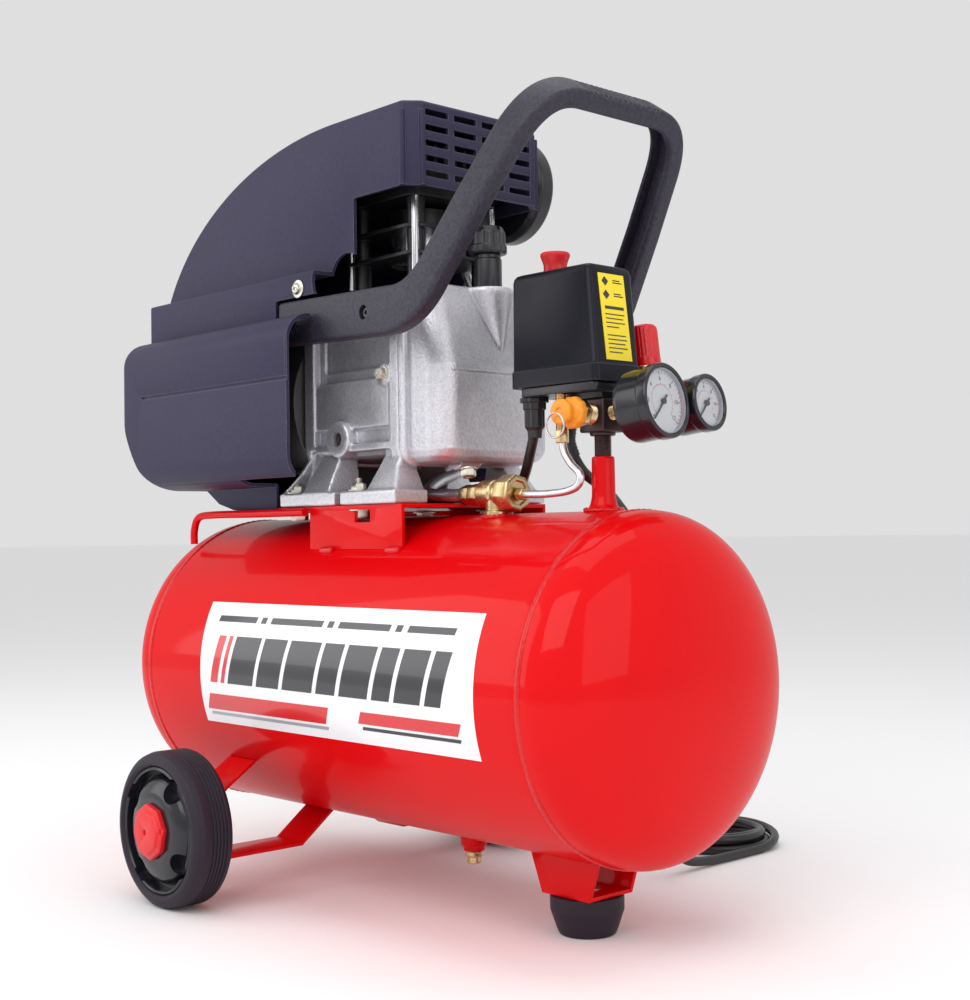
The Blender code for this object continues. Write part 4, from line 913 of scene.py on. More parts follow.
def make_drain():
    bottom = TANK_Z - TANK_R
    profile = heights(bottom, (0.0, 0.0015), (0.0115, 0.0015), (0.0106, -0.004), (0.0098, -0.009),
                      (0.0084, -0.0105), (0.0084, -0.0135), (0.0, -0.0135))
    bung = turned("bung", profile, "Z", (DRAIN_X, 0, 0), 48, 0.0, 0.0012)
    piece(bung, "drain_boss", RED, "machine", ("drain_bung",))
    ring = weld_ring("ring", (DRAIN_X, 0, bottom - 0.0004), (0, 0, -1), 0.0118, 0.0016)
    piece(ring, "weld_drain", RED_SEAM, "machine", (), 80.0)
    top = bottom - 0.0135 - GAP
    head = turned("head", heights(top, (0.0, 0.0), (0.0075, 0.0), (0.0075, -0.004),
                                  (0.0066, -0.0046), (0.0, -0.0046)), "Z", (DRAIN_X, 0, 0), 6,
                                  math.radians(10))
    shank = turned("shank", heights(top, (0.0, -0.0044), (0.0054, -0.0044), (0.0054, -0.009),
                                    (0.0047, -0.0095), (0.002, -0.0095), (0.0016, -0.008),
                                    (0.0, -0.008)), "Z", (DRAIN_X, 0, 0), 32, 0.0, 0.0003)
    piece(merge("tap", [bevel(head, 0.0004, 2), shank]), "drain_tap", BRASS, "drain",
          ("drain_valve",))


def softened(node, name, width, look, body, segments=3, angle=32.0):
    """A CAD node's own shape with its edges rounded."""
    item = bevel(cad_copy(node, name), width, segments, angle)
    return piece(item, name, look, body, (node,), 40.0)


def make_front_foot():
    softened("foot_bracket", "foot_channel", 0.0009, RED, "machine")
    profile = [(0.0, FOOT_HEIGHT), (0.0265, FOOT_HEIGHT), (0.0265, 0.0175), (0.0256, 0.015),
               (0.0222, 0.005), (0.0205, 0.0008), (0.0192, 0.0), (0.012, 0.0), (0.011, 0.0012),
               (0.0, 0.0012)]
    foot = turned("foot", profile, "Z", (FOOT_X, 0, 0), 72, 0.0, 0.0011)
    piece(foot, "rubber_foot", RUBBER, "machine", ("front_foot",))
    level = FOOT_HEIGHT + GAP + 0.003
    bolt = hex_bolt((FOOT_X, 0, level), (0, 0, 1), 0.013, 0.0055, 0.0105, 0.009)
    piece(bolt, "foot_bolt", ZINC, "machine")


def make_wheel(side, label):
    """Tyre with tread grooves, domed glossy hub with moulded pockets, and the octagonal cap."""
    body = "wheel_" + label
    inner_y = WHEEL_FACE_Y - TYRE_WIDTH
    loop = heights(inner_y, (TYRE_BORE_R, 0.0), (WHEEL_R - 0.0062, 0.0), (WHEEL_R - 0.0012, 0.0022),
                   (WHEEL_R, 0.005))
    for k in range(5):
        mid = inner_y + 0.0075 + k * 0.003
        loop += heights(mid, (WHEEL_R, -0.0009), (WHEEL_R - 0.0014, -0.0004),
                        (WHEEL_R - 0.0014, 0.0004), (WHEEL_R, 0.0009))
    loop += heights(WHEEL_FACE_Y, (WHEEL_R, -0.008), (WHEEL_R - 0.0016, -0.003),
                    (WHEEL_R - 0.005, -0.0006), (WHEEL_R - 0.0075, 0.0),
                    (TYRE_BORE_R + 0.0022, -0.0002), (TYRE_BORE_R, -0.0022))
    loop = [(radius, side * along) for radius, along in loop]
    tyre = turned("tyre", loop, "Y", (WHEEL_X, 0, WHEEL_R), 120, 0.0, 0.0007)
    piece(tyre, "tyre_tread_" + label, RUBBER, body, ("tyre_" + label,), 30.0)

    bore = AXLE_R + GAP
    rim = TYRE_BORE_R - GAP
    face = WHEEL_FACE_Y
    dome = []
    for k in range(9):
        angle = 0.5 * math.pi * k / 8
        dome.append((0.0215 + 0.0195 * math.cos(angle), face - 0.0085 + 0.0105 * math.sin(angle)))
    loop = [(bore, inner_y - 0.003), (0.016, inner_y - 0.003), (0.018, inner_y + 0.008),
            (rim, inner_y + 0.008), (rim, face - 0.002), (rim - 0.0018, face - 0.0008),
            (rim - 0.003, face - 0.002), (rim - 0.0034, face - 0.012), (0.0424, face - 0.012)]
    loop += dome + [(bore, face + 0.002)]
    loop = [(radius, side * along) for radius, along in loop]
    hub = turned("hub", loop, "Y", (WHEEL_X, 0, WHEEL_R), 96, 0.0, 0.0004)
    for k in range(4):
        angle = math.radians(-35 + 90 * k)
        spot = (WHEEL_X + 0.0395 * math.cos(angle), 0, WHEEL_R + 0.0395 * math.sin(angle))
        ends = sorted((side * (face - 0.0085), side * (face + 0.01)))
        cut(hub, rod("pocket", 0.0095, ends[0], ends[1], "Y", spot, 40))
    piece(hub, "hub_dome_" + label, HUB, body, ("wheel_hub_" + label,), 30.0)

    low = face + 0.002 + GAP
    line = heights(low, (0.0, 0.0), (0.0215, 0.0), (0.0215, 0.0036), (0.0202, 0.0046),
                   (0.0175, 0.0046), (0.0168, 0.006), (0.016, 0.0065), (0.0, 0.0065))
    line = [(radius, side * along) for radius, along in line]
    cap = turned("cap", line, "Y", (WHEEL_X, 0, WHEEL_R), 8, math.radians(8))
    pit = sorted((side * (low + 0.0052), side * (low + 0.01)))
    cut(cap, rod("pit", 0.0022, pit[0], pit[1], "Y", (WHEEL_X, 0, WHEEL_R), 24))
    notch = sorted((side * (low + 0.003), side * (low + 0.01)))
    for k in range(2):
        angle = math.radians(8 + 180 * k)
        cutter = box("notch", (-0.003, 0.003), notch, (-0.0022, 0.0022))
        cutter.data.transform(Matrix.Translation((WHEEL_X + 0.0205 * math.cos(angle), 0,
                                                  WHEEL_R + 0.0205 * math.sin(angle))))
        cut(cap, cutter)
    bevel(cap, 0.0005, 2)
    piece(cap, "cap_octagon_" + label, RED_PLASTIC, body, ("hub_cap_" + label,), 25.0)
    softened("axle_bracket_" + label, "axle_strap_" + label, 0.0007, RED, "machine")
    plate_y = side * (inner_y - 0.003 - 2 * GAP - 0.003)
    washer = turned("washer", [(0.0, plate_y), (0.0105, plate_y), (0.0105, plate_y - side * 0.0016),
                               (0.0085, plate_y - side * 0.0018), (0.0085, plate_y - side * 0.0068),
                               (0.0, plate_y - side * 0.0068)], "Y", (WHEEL_X, 0, WHEEL_R), 6)
    piece(bevel(washer, 0.0004, 2), "axle_nut_" + label, ZINC, "machine")


def make_saddle():
    saddle = cad_copy("pump_saddle", "saddle")
    for side in (-1, 1):
        ys = sorted((side * 0.066, side * 0.08))
        cut(saddle, box("window", (-0.0005, 0.0185), ys, (0.2945, 0.3042)))
    bevel(saddle, 0.0008, 3)
    piece(saddle, "saddle_plate", RED, "machine", ("pump_saddle",), 40.0)
    nuts = []
    for side in (-1, 1):
        for x in BOLT_X:
            nuts.append(hex_bolt((x, side * 0.0665, SADDLE_TOP - 0.0032), (0, 0, -1), 0.0125, 0.0062, 0.01))
    piece(merge("nuts", nuts), "saddle_nuts", ZINC, "machine")
    beads = []
    for side in (-1, 1):
        for x in (-0.033, 0.048):
            beads.append(rod("bead", 0.003, x - 0.0075, x + 0.0075, "X", (0, side * 0.077, 0.2732), 20,
                             0.0028))
    piece(merge("beads", beads), "saddle_welds", RED_SEAM, "machine", (), 80.0)
    for side, name in ((-1, "rail_near"), (1, "rail_far")):
        rail_r = 0.0032
        z = SADDLE_TOP - rail_r - 0.001
        y = side * (0.075 + rail_r + GAP)
        route = [(-0.06, y, z), (-0.13, y, z), (-0.205, y, z), (-0.218, y, z - 0.003),
                 (-0.2235, y, z - 0.013), (-0.2238, y, 0.279)]
        bar = tube_mesh("bar", smooth_route(route, 0.0022), lambda share: rail_r, 20)
        piece(bar, name + "_bar", RED, "machine", (name,))


# ---------------------------------------------------------------- pump

def make_crankcase():
    """The CAD casting with its side panels, ribs and bolt bosses, melted into one cast skin."""
    case = cad_copy("crankcase", "case")
    for side in (-1, 1):
        ys = sorted((side * (CASE_HALF - 0.003), side * (CASE_HALF + 0.004)))
        cut(case, box("recess", (-0.059, 0.026), ys, (0.4135, 0.462)))
        ys = sorted((side * 0.06, side * 0.09))
        pocket = [(-0.0885, SADDLE_TOP + GAP + 0.0105), (-0.064, SADDLE_TOP + GAP + 0.0105), (-0.056, 0.352),
                  (-0.0695, 0.352), (-0.075, 0.334)]
        cut(case, prism("pocket", pocket, ys[0], ys[1], "Y"))
    parts = [case]
    for side in (-1, 1):
        face = side * (CASE_HALF + 0.0045)
        span = sorted((side * (CASE_HALF - 0.004), face))
        parts.append(box("panel", (-0.063, 0.027), span, (0.368, 0.405)))
        span = sorted((side * (CASE_HALF - 0.004), side * (CASE_HALF + 0.006)))
        parts.append(box("ledge", (-0.064, 0.028), span, (0.35, 0.3558)))
        span = sorted((side * (CASE_HALF - 0.004), side * (CASE_HALF + 0.007)))
        parts.append(rod("ear", 0.008, span[0], span[1], "Y", (0.0232, 0, 0.407), 24))
        span = sorted((side * (CASE_HALF - 0.004), side * (CASE_HALF + 0.0092)))
        parts.append(rod("boss", 0.0142, span[0], span[1], "Y", (-0.0315, 0, 0.36), 32))
    case = cast(merge("case", parts), 0.0011, 4)
    for side in (-1, 1):
        ends = sorted((side * (CASE_HALF + 0.003), side * (CASE_HALF + 0.013)))
        cut(case, rod("port", 0.0062, ends[0], ends[1], "Y", (-0.0315, 0, 0.36), 32))
    piece(case, "crankcase_casting", CAST_METAL, "machine", ("crankcase",), 60.0)
    plugs = []
    for side in (-1, 1):
        plugs.append(hex_bolt((-0.0315, side * (CASE_HALF + 0.0032), 0.36), (0, side, 0), 0.0092, 0.004))
    piece(merge("plugs", plugs), "level_plugs", DARK_STEEL, "machine")


def make_cover():
    """Front cover: deep rounded box whose upper face leans back round the breather's boss."""
    low = 0.338
    bend = 0.4105
    heights = (low, low + 0.0012, low + 0.0045, low + 0.01, 0.36, 0.385, 0.402, bend, 0.415, 0.43, 0.45,
               0.466, 0.4715, DECK_Z)
    rings = []
    back = FLANGE_FRONT + GAP
    for z in heights:
        half = CASE_HALF + 0.001
        front = COVER_FRONT
        shrink = 0.0
        if z < low + 0.012:
            shrink = 0.012 - math.sqrt(max(0.012 ** 2 - (0.012 - (z - low)) ** 2, 0.0))
        if z > bend:
            front -= 0.0175 * (z - bend) / (DECK_Z - bend)
        if z > 0.4714:
            shrink = 0.0015 * (z - 0.4714) / (DECK_Z - 0.4714)
        half -= shrink
        front -= shrink
        corner = 0.0185
        outline = [(back, -half), (front - corner, -half)]
        for k in range(1, 13):
            angle = 0.5 * math.pi * k / 12
            outline.append((front - corner + corner * math.sin(angle),
                            -half + corner - corner * math.cos(angle)))
        outline += [(x, -y) for x, y in reversed(outline)]
        rings.append([Vector((x, y, z)) for x, y in outline])
    cover = loft("cover", rings)
    lip = []
    for x, grow in ((back, 0.0062), (back + 0.0048, 0.0062), (back + 0.006, 0.005)):
        outline = rounded_rectangle(CASE_HALF + grow, (DECK_Z - 0.3365) / 2 - 0.0062 + grow, 0.014, 6,
                                    (0.0, (DECK_Z + 0.3365) / 2))
        lip.append([Vector((x, u, v)) for u, v in outline])
    cone = []
    for share in (0.0, 0.25, 0.5, 0.75, 0.93, 1.0):
        z = 0.4235 + (DECK_Z - 0.0003 - 0.4235) * share
        radius = 0.001 + 0.0185 * min(share / 0.93, 1.0)
        centre_x = 0.0795 - 0.014 * share
        ring = []
        for k in range(48):
            angle = 2 * math.pi * k / 48
            ring.append(Vector((centre_x + radius * math.cos(angle), 0.006 + radius * math.sin(angle), z)))
        cone.append(ring)
    drain = rod("drain", 0.0095, -0.03, -0.01, "Y", (0.065, 0, 0.342), 28)
    parts = [cover, loft("lip", lip), loft("cone", cone), drain]
    body = cast(merge("cover", parts), 0.001, 3)
    cut(body, box("groove", (COVER_FRONT - 0.0011, COVER_FRONT + 0.01), (-0.048, 0.048), (0.4052, 0.4066)))
    piece(body, "cover_casting", CAST_METAL, "machine", ("crankcase_cover",), 60.0)
    plug = hex_bolt((0.08, -0.03, 0.333), (0.25, -0.15, -1), 0.01, 0.005, 0.0068)
    piece(plug, "oil_plug", ZINC, "machine")


def make_case_bolts():
    bolts = []
    for side in (-1, 1):
        for x in BOLT_X:
            bolts.append(hex_bolt((x, side * 0.069, SADDLE_TOP + GAP + 0.0106), (0, 0, 1), 0.01, 0.0048,
                                  0.0085, 0.004))
        bolts.append(hex_bolt((0.0232, side * (CASE_HALF + 0.0068), 0.407), (0, side, 0), 0.0085, 0.0036,
                              0.0068))
    piece(merge("bolts", bolts), "case_bolts", ZINC, "machine")


def make_breather():
    base = DECK_Z + GAP
    top = base + 0.026
    spot = (0.066, 0.006, 0)
    profile = [(0.0, base), (0.0108, base), (0.0108, top - 0.004), (0.01, top - 0.003), (0.01, top),
               (0.0, top)]
    tube = turned("tube", profile, "Z", spot, 48, 0.0, 0.0005)
    piece(tube, "breather_tube", BLACK_PLASTIC, "machine", ("breather_body",))
    low = top + GAP
    profile = heights(low, (0.0, 0.0), (0.0135, 0.0), (0.0148, 0.0012), (0.0148, 0.006),
                      (0.0136, 0.0068), (0.0136, 0.016), (0.0118, 0.0205), (0.01, 0.0215),
                      (0.0, 0.0215))
    cap = turned("cap", profile, "Z", spot, 144, 0.0, 0.0004,
                 waves=lambda a, r, h: r * (1 + 0.035 * max(math.cos(12 * a), -0.3)) if r > 0.013 else r)
    for k in range(6):
        angle = 2 * math.pi * k / 6
        slot = box("slot", (0.0075, 0.016), (-0.0016, 0.0016), (low + 0.0175, low + 0.0225))
        slot.data.transform(Matrix.Rotation(angle, 4, "Z"))
        slot.data.transform(Matrix.Translation(Vector(spot)))
        cut(cap, slot)
    piece(cap, "breather_knob", BLACK_PLASTIC, "breather_lid", ("breather_cap",), 30.0)


def make_cylinder():
    """Finned barrel and head, with the long studs that hold them standing at the corners."""
    base = DECK_Z + GAP
    barrel = pillow("barrel", FIN_HALF, FIN_HALF, 0.01, base, base + 0.008, "Z", (CYL_X, 0), (0.0008, 0.0008))
    parts = [barrel, rod("sleeve", 0.032, base + 0.004, CYL_TOP, "Z", (CYL_X, 0, 0), 64)]
    pitch = 0.021
    for k in range(4):
        top = CYL_TOP - k * pitch
        parts.append(pillow("fin", FIN_HALF, FIN_HALF, 0.012, top - 0.003, top, "Z", (CYL_X, 0),
                            (0.0007, 0.0007)))
    for sx in (-1, 1):
        for sy in (-1, 1):
            parts.append(rod("post", 0.0072, base + 0.004, CYL_TOP, "Z",
                             (CYL_X + sx * 0.0335, sy * 0.0335, 0), 24))
    finned = merge("finned", parts)
    cut(finned, rod("bore", 0.0238, base - 0.01, CYL_TOP + 0.01, "Z", (CYL_X, 0, 0), 64))
    piece(finned, "cylinder_fins", BLACK_CASTING, "machine", ("cylinder",), 40.0)
    low = CYL_TOP + GAP
    head = pillow("head", FIN_HALF, FIN_HALF, 0.01, low, low + 0.022, "Z", (CYL_X, 0), (0.0006, 0.002))
    parts = [head]
    for k in range(9):
        y = -0.0405 + 0.010125 * k
        fin = pillow("fin", 0.002, 0.0105, 0.0015, CYL_X - FIN_HALF + 0.002, CYL_X + FIN_HALF - 0.002, "X",
                     (y, low + 0.0315), (0.001, 0.001), 4)
        parts.append(fin)
    piece(merge("top", parts), "cylinder_head_fins", BLACK_CASTING, "machine",
          ("cylinder_head",), 40.0)
    studs = []
    for sx in (-1, 1):
        for sy in (-1, 1):
            spot = (CYL_X + sx * 0.04, sy * 0.04, 0)
            studs.append(rod("stud", 0.0031, base + 0.008, CYL_TOP, "Z", spot, 24, 0.0003))
    piece(merge("studs", studs), "cylinder_studs", BRIGHT_STEEL, "machine")
    nuts = []
    for sx in (-1, 1):
        for sy in (-1, 1):
            nuts.append(hex_bolt((CYL_X + sx * 0.0345, sy * 0.0355, low + 0.0215), (0, 0, 1), 0.01, 0.006,
                                 0.0078, 0.004))
    piece(merge("nuts", nuts), "head_nuts", ZINC, "machine")


def make_intake():
    low = FIN_HALF + GAP
    profile = [(0.0, low), (0.0118, low), (0.0118, FLANK_HALF + 0.0022), (0.0385, FLANK_HALF + 0.0022),
               (0.0412, FLANK_HALF + 0.005), (0.0424, FLANK_HALF + 0.0062), (0.043, FLANK_HALF + 0.008),
               (0.043, FLANK_HALF + 0.0175), (0.0415, FLANK_HALF + 0.02), (0.037, FLANK_HALF + 0.0224),
               (0.024, FLANK_HALF + 0.023), (0.0232, FLANK_HALF + 0.0205), (0.0135, FLANK_HALF + 0.0205),
               (0.0128, FLANK_HALF + 0.0228), (0.0, FLANK_HALF + 0.023)]
    drum = turned("drum", profile, "Y", (0.014, 0, 0.568), 96, 0.0, 0.0009)
    for k in range(12):
        angle = 2 * math.pi * k / 12
        slot = box("slot", (0.015, 0.0222), (FLANK_HALF + 0.015, FLANK_HALF + 0.03), (-0.0022, 0.0022))
        slot.data.transform(Matrix.Rotation(angle, 4, "Y"))
        slot.data.transform(Matrix.Translation((0.014, 0, 0.568)))
        cut(drum, slot)
    piece(drum, "intake_drum", BLACK_PLASTIC, "machine", ("intake_filter",), 30.0)


def make_motor():
    """Stator with through bolts and ribs, rear bell with air windows, and the fan's curved blades."""
    softened("stator", "stator_stack", 0.0008, STATOR_STEEL, "machine")
    crank_z = 0.392
    bolts = []
    for k in range(4):
        angle = math.radians(45 + 90 * k)
        y = 0.0775 * math.cos(angle)
        z = crank_z + 0.0775 * math.sin(angle)
        bolts.append(rod("bolt", 0.0022, -0.196, -0.0785, "X", (0, y, z), 16))
        bolts.append(hex_bolt((-0.19, y, z), (-1, 0, 0), 0.0075, 0.005, 0.0))
    piece(merge("bolts", bolts), "motor_bolts", ZINC, "machine")
    bell = cad_copy("motor_end_bell", "bell")
    for k in range(8):
        angle = 2 * math.pi * (k + 0.5) / 8
        slot = box("slot", (-0.23, -0.18), (-0.008, 0.008), (0.044, 0.056))
        slot.data.transform(Matrix.Rotation(angle, 4, "X"))
        slot.data.transform(Matrix.Translation((0, 0, crank_z)))
        cut(bell, slot)
    bevel(bell, 0.0008, 2)
    piece(bell, "motor_bell", CAST_METAL, "machine", ("motor_end_bell",), 40.0)
    fan_rear = -0.232
    hub = turned("hub", [(0.0089, fan_rear), (0.024, fan_rear), (0.024, -0.21), (0.0089, -0.21)], "X",
                 (0, 0, crank_z), 64, 0.0, 0.0008)
    parts = [hub]
    for k in range(8):
        rings = []
        for step in range(9):
            share = step / 8
            radius = 0.022 + 0.028 * share
            angle = 2 * math.pi * k / 8 + 0.28 * share * share
            across = Vector((0, -math.sin(angle), math.cos(angle)))
            out = Vector((0, math.cos(angle), math.sin(angle)))
            centre = Vector((0, 0, crank_z)) + out * radius
            thick = 0.0011 - 0.0003 * share
            ring = []
            for x, t in ((fan_rear + 0.002, -thick), (-0.212, -thick), (-0.212, thick),
                         (fan_rear + 0.002, thick)):
                ring.append(centre + across * (t + (x - fan_rear) * 0.12) + Vector((x, 0, 0)))
            rings.append(ring)
        parts.append(loft("blade", rings))
    piece(merge("fan", parts), "fan_wheel", FAN_PLASTIC, "crank", ("cooling_fan",), 30.0)


# ---------------------------------------------------------------- plastic covers and handle

def shroud_outline(inset, low, rear, front, steps=40):
    """Side view: upright front, flat top and part of an ellipse down to the back."""
    centre_x, centre_z = ARC_CENTRE
    reach = ARC_REACH - inset
    rise = SHROUD_TOP - centre_z - inset
    outline = [(rear + inset, low), (front - inset, low), (front - inset, SHROUD_TOP - inset)]
    last = math.asin((BAND_Z[1] - centre_z) / rise)
    for k in range(steps + 1):
        angle = math.pi / 2 + (math.pi / 2 - last) * k / steps
        outline.append((centre_x + reach * math.cos(angle), centre_z + rise * math.sin(angle)))
    return outline


def chamfered_plan(name, half, front, low, high):
    """Plan outline of the shroud with its front corners cut off."""
    outline = [(REAR_X, -half), (front - CHAMFER[0], -half), (front, -half + CHAMFER[1])]
    outline += [(x, -y) for x, y in reversed(outline)]
    return prism(name, outline, low, high, "Z")


def make_shroud():
    rear = REAR_X + 0.0024
    band_rear = REAR_X + 0.003
    outer = prism("shroud", shroud_outline(0.0, BAND_Z[0], rear, SHROUD_FRONT), -FLANK_HALF, FLANK_HALF, "Y")
    combine(outer, [chamfered_plan("plan", FLANK_HALF, SHROUD_FRONT, 0.4, 0.65)], "INTERSECT")
    bevel(outer, 0.0032, 4, 50.0)
    band = box("band", (band_rear, -0.021), (-BAND_HALF, BAND_HALF), BAND_Z)
    bevel(band, 0.0022, 3)
    beads = []
    for side in (-1, 1):
        for x, y in ((SHROUD_FRONT - CHAMFER[0] + 0.0004, FLANK_HALF - 0.0006),
                     (SHROUD_FRONT - 0.0005, FLANK_HALF - CHAMFER[1] + 0.0002)):
            beads.append(rod("bead", 0.0024, 0.5, SHROUD_TOP - 0.007, "Z", (x, side * y, 0), 20, 0.0015))
    join(outer, band, *beads)
    inner = prism("inner", shroud_outline(SHEET, BAND_Z[0] - 0.01, rear, SHROUD_FRONT),
                  -FLANK_HALF + SHEET, FLANK_HALF - SHEET, "Y")
    inner_plan = chamfered_plan("plan", FLANK_HALF - SHEET, SHROUD_FRONT - SHEET, 0.4, 0.65)
    combine(inner, [inner_plan], "INTERSECT")
    inner_band = box("inner_band", (band_rear + SHEET, 0.0), (-BAND_HALF + SHEET, BAND_HALF - SHEET),
                     (BAND_Z[0] - 0.01, BAND_Z[1] - SHEET))
    front_cut = box("front_cut", (-0.004, 0.08), (-0.1, 0.1), (BAND_Z[0] - 0.02, CYL_TOP))
    side_cut = box("side_cut", (-0.021, 0.08), (-0.1, 0.1), (BAND_Z[0] - 0.02, 0.4995))
    arm_cut = box("arm_cut", (-0.084, 0.0), (-0.1, 0.1), (BAND_Z[0] - 0.02, 0.473))
    neck = rod("neck", 0.0135, FLANK_HALF - 0.01, FLANK_HALF + 0.01, "Y", (0.014, 0, 0.568), 40)
    scallop = rod("scallop", 0.021, -0.1, 0.1, "Y", (-0.0135, 0, 0.483), 48)
    cut(outer, inner, inner_band, front_cut, side_cut, arm_cut, neck, scallop)
    for row in range(5):
        for column in range(4):
            y = (column - 1.5) * 0.0287
            z = 0.5545 + row * 0.0115
            cut(outer, pillow("slot", 0.0115, 0.0025, 0.0007, SHROUD_FRONT - 0.01, SHROUD_FRONT + 0.01, "X",
                              (y, z), (0.0, 0.0), 2))
    bevel(outer, 0.0007, 2, 40.0)
    piece(outer, "shroud_shell", DARK_PLASTIC, "machine", ("upper_shroud",), 35.0)
    screws = []
    for side in (-1, 1):
        screws.append(round_screw((-0.052, side * BAND_HALF, 0.479), (0, side, 0), 0.0072, 0.0044))
    piece(merge("screws", screws), "shroud_screws", ZINC, "machine")


def corner_outline(inset, steps=20):
    """Everything outside the round lower rear corner of the fan cover, in side view."""
    bend_x, bend_z = COVER_BEND
    reach = bend_x - REAR_X + 0.0005 - inset
    drop = bend_z - COVER_Z[0] + 0.0005 - inset
    power = 2 / COVER_FULLNESS
    outline = []
    for k in range(steps + 1):
        angle = 0.5 * math.pi * k / steps
        outline.append((bend_x - reach * abs(math.sin(angle)) ** power,
                        bend_z - drop * abs(math.cos(angle)) ** power))
    return outline + [(REAR_X - 0.03, bend_z), (REAR_X - 0.03, COVER_Z[0] - 0.03),
                      (bend_x, COVER_Z[0] - 0.03)]


def make_fan_cover():
    """Fan cover with a round lower rear corner and a shallow air duct hanging under it."""
    low, high = COVER_Z
    middle = (0.0, (low + high) / 2)
    half_z = (high - low) / 2
    cover = pillow("cover", COVER_HALF, half_z, 0.022, REAR_X, COVER_END, "X", middle, (0.012, 0.0), 8)
    cut(cover, prism("corner", corner_outline(0.0), -0.13, 0.13, "Y"))
    bevel(cover, 0.003, 3, 50.0)
    hollow = pillow("hollow", COVER_HALF - SHEET, half_z - SHEET, 0.019, REAR_X + SHEET, COVER_END + 0.01,
                    "X", middle, (0.01, 0.0), 8)
    cut(hollow, prism("corner", corner_outline(SHEET), -0.13, 0.13, "Y"))
    top = box("top", (REAR_X + 0.016, COVER_END + 0.01), (-BAND_HALF + SHEET, BAND_HALF - SHEET),
              (high - 0.01, high + 0.01))
    underside = box("underside", (DUCT_FRONT - 0.001, COVER_END + 0.01), (-0.11, 0.11),
                    (low - 0.01, low + 0.01))
    arm_room = box("arm_room", (-0.084, COVER_END + 0.01), (-0.0945, 0.0945), (high - 0.01, high + 0.01))
    cut(cover, hollow, top, underside, arm_room)
    duct = prism("duct", [(-0.2115, 0.3262), (-0.19, 0.313), (-0.168, 0.3075), (-0.15, 0.3062),
                          (DUCT_FRONT, 0.3062), (DUCT_FRONT, 0.327), (-0.2115, 0.327)],
                 -DUCT_HALF, DUCT_HALF, "Y")
    bevel(duct, 0.0012, 2)
    duct_hollow = prism("duct_hollow", [(-0.2075, 0.334), (-0.2062, 0.3262), (-0.189, 0.3156),
                                        (-0.1675, 0.31), (-0.1495, 0.3088),
                                        (DUCT_FRONT + 0.01, 0.3088), (DUCT_FRONT + 0.01, 0.334)],
                        -DUCT_HALF + 0.0025, DUCT_HALF - 0.0025, "Y")
    join(cover, duct)
    cut(cover, duct_hollow)
    for side in (-1, 1):
        ys = sorted((side * (COVER_HALF - 0.0013), side * (COVER_HALF + 0.01)))
        groove = prism("groove", [(-0.245, 0.4058), (-0.24, 0.4042), (-0.025, 0.4042), (-0.025, 0.407),
                                  (-0.24, 0.407)], ys[0], ys[1], "Y")
        cut(cover, groove)
        ys = sorted((side * (COVER_HALF - 0.0008), side * (COVER_HALF + 0.01)))
        cut(cover, box("step", (COVER_END - 0.0018, COVER_END + 0.01), (ys[0] - 0.02, ys[1]), (0.405, 0.47)))
    for k in range(7):
        y = (k - 3) * 0.022
        cut(cover, pillow("vent", 0.005, 0.028, 0.0035, REAR_X - 0.01, REAR_X + 0.016, "X", (y, 0.41),
                          (0.0, 0.0), 4))
    bevel(cover, 0.0007, 2, 40.0)
    piece(cover, "cover_shell", DARK_PLASTIC, "machine", ("fan_cover",), 35.0)


def handle_path():
    """Middle line of the bent bar, near end to far end: point, direction of its wide side, width."""
    low = [Vector((-0.08, -0.0795, 0.4545)), Vector((-0.01, -0.0865, 0.4508)),
           Vector((0.074, -0.097, 0.4464))]
    elbow = Vector((0.106, -0.1005, 0.4447))
    foot = Vector((0.1225, -0.0966, 0.47))
    middle = Vector((0.152, -0.0886, 0.513))
    shoulder = Vector((0.179, -0.0795, 0.552))
    peak = Vector((0.202, -0.071, 0.5848))
    grip = Vector((0.2025, -0.04, 0.5852))
    upright = Vector((0.0, 0.0, 1.0))
    rise = (peak - shoulder).normalized()
    plane_normal = Vector((-rise.z, 0.0, rise.x)).normalized()
    path = []
    for start, end in ((low[0], low[1]), (low[1], low[2])):
        for step in range(6):
            path.append((start.lerp(end, step / 6), upright, 0.035))
    for step in range(15):
        share = step / 14
        point = low[2] * (1 - share) ** 2 + elbow * 2 * share * (1 - share) + foot * share ** 2
        wide = upright.lerp(plane_normal, share).normalized()
        path.append((point, wide, 0.035 - 0.0085 * share))
    for step in range(1, 5):
        path.append((foot.lerp(middle, step / 4), plane_normal, 0.0265 - 0.001 * step / 4))
    for step in range(1, 4):
        path.append((middle.lerp(shoulder, step / 4), plane_normal, 0.0255 - 0.0005 * step / 4))
    for step in range(17):
        share = step / 16
        point = shoulder * (1 - share) ** 2 + peak * 2 * share * (1 - share) + grip * share ** 2
        path.append((point, plane_normal, 0.025))
    for step in range(1, 81):
        y = -0.04 + 0.04 * step / 80
        path.append((Vector((0.2025, y, 0.5852)), plane_normal, 0.025))
    mirrored = [(Vector((point.x, -point.y, point.z)), wide, width) for point, wide, width in path[-2::-1]]
    return path + mirrored


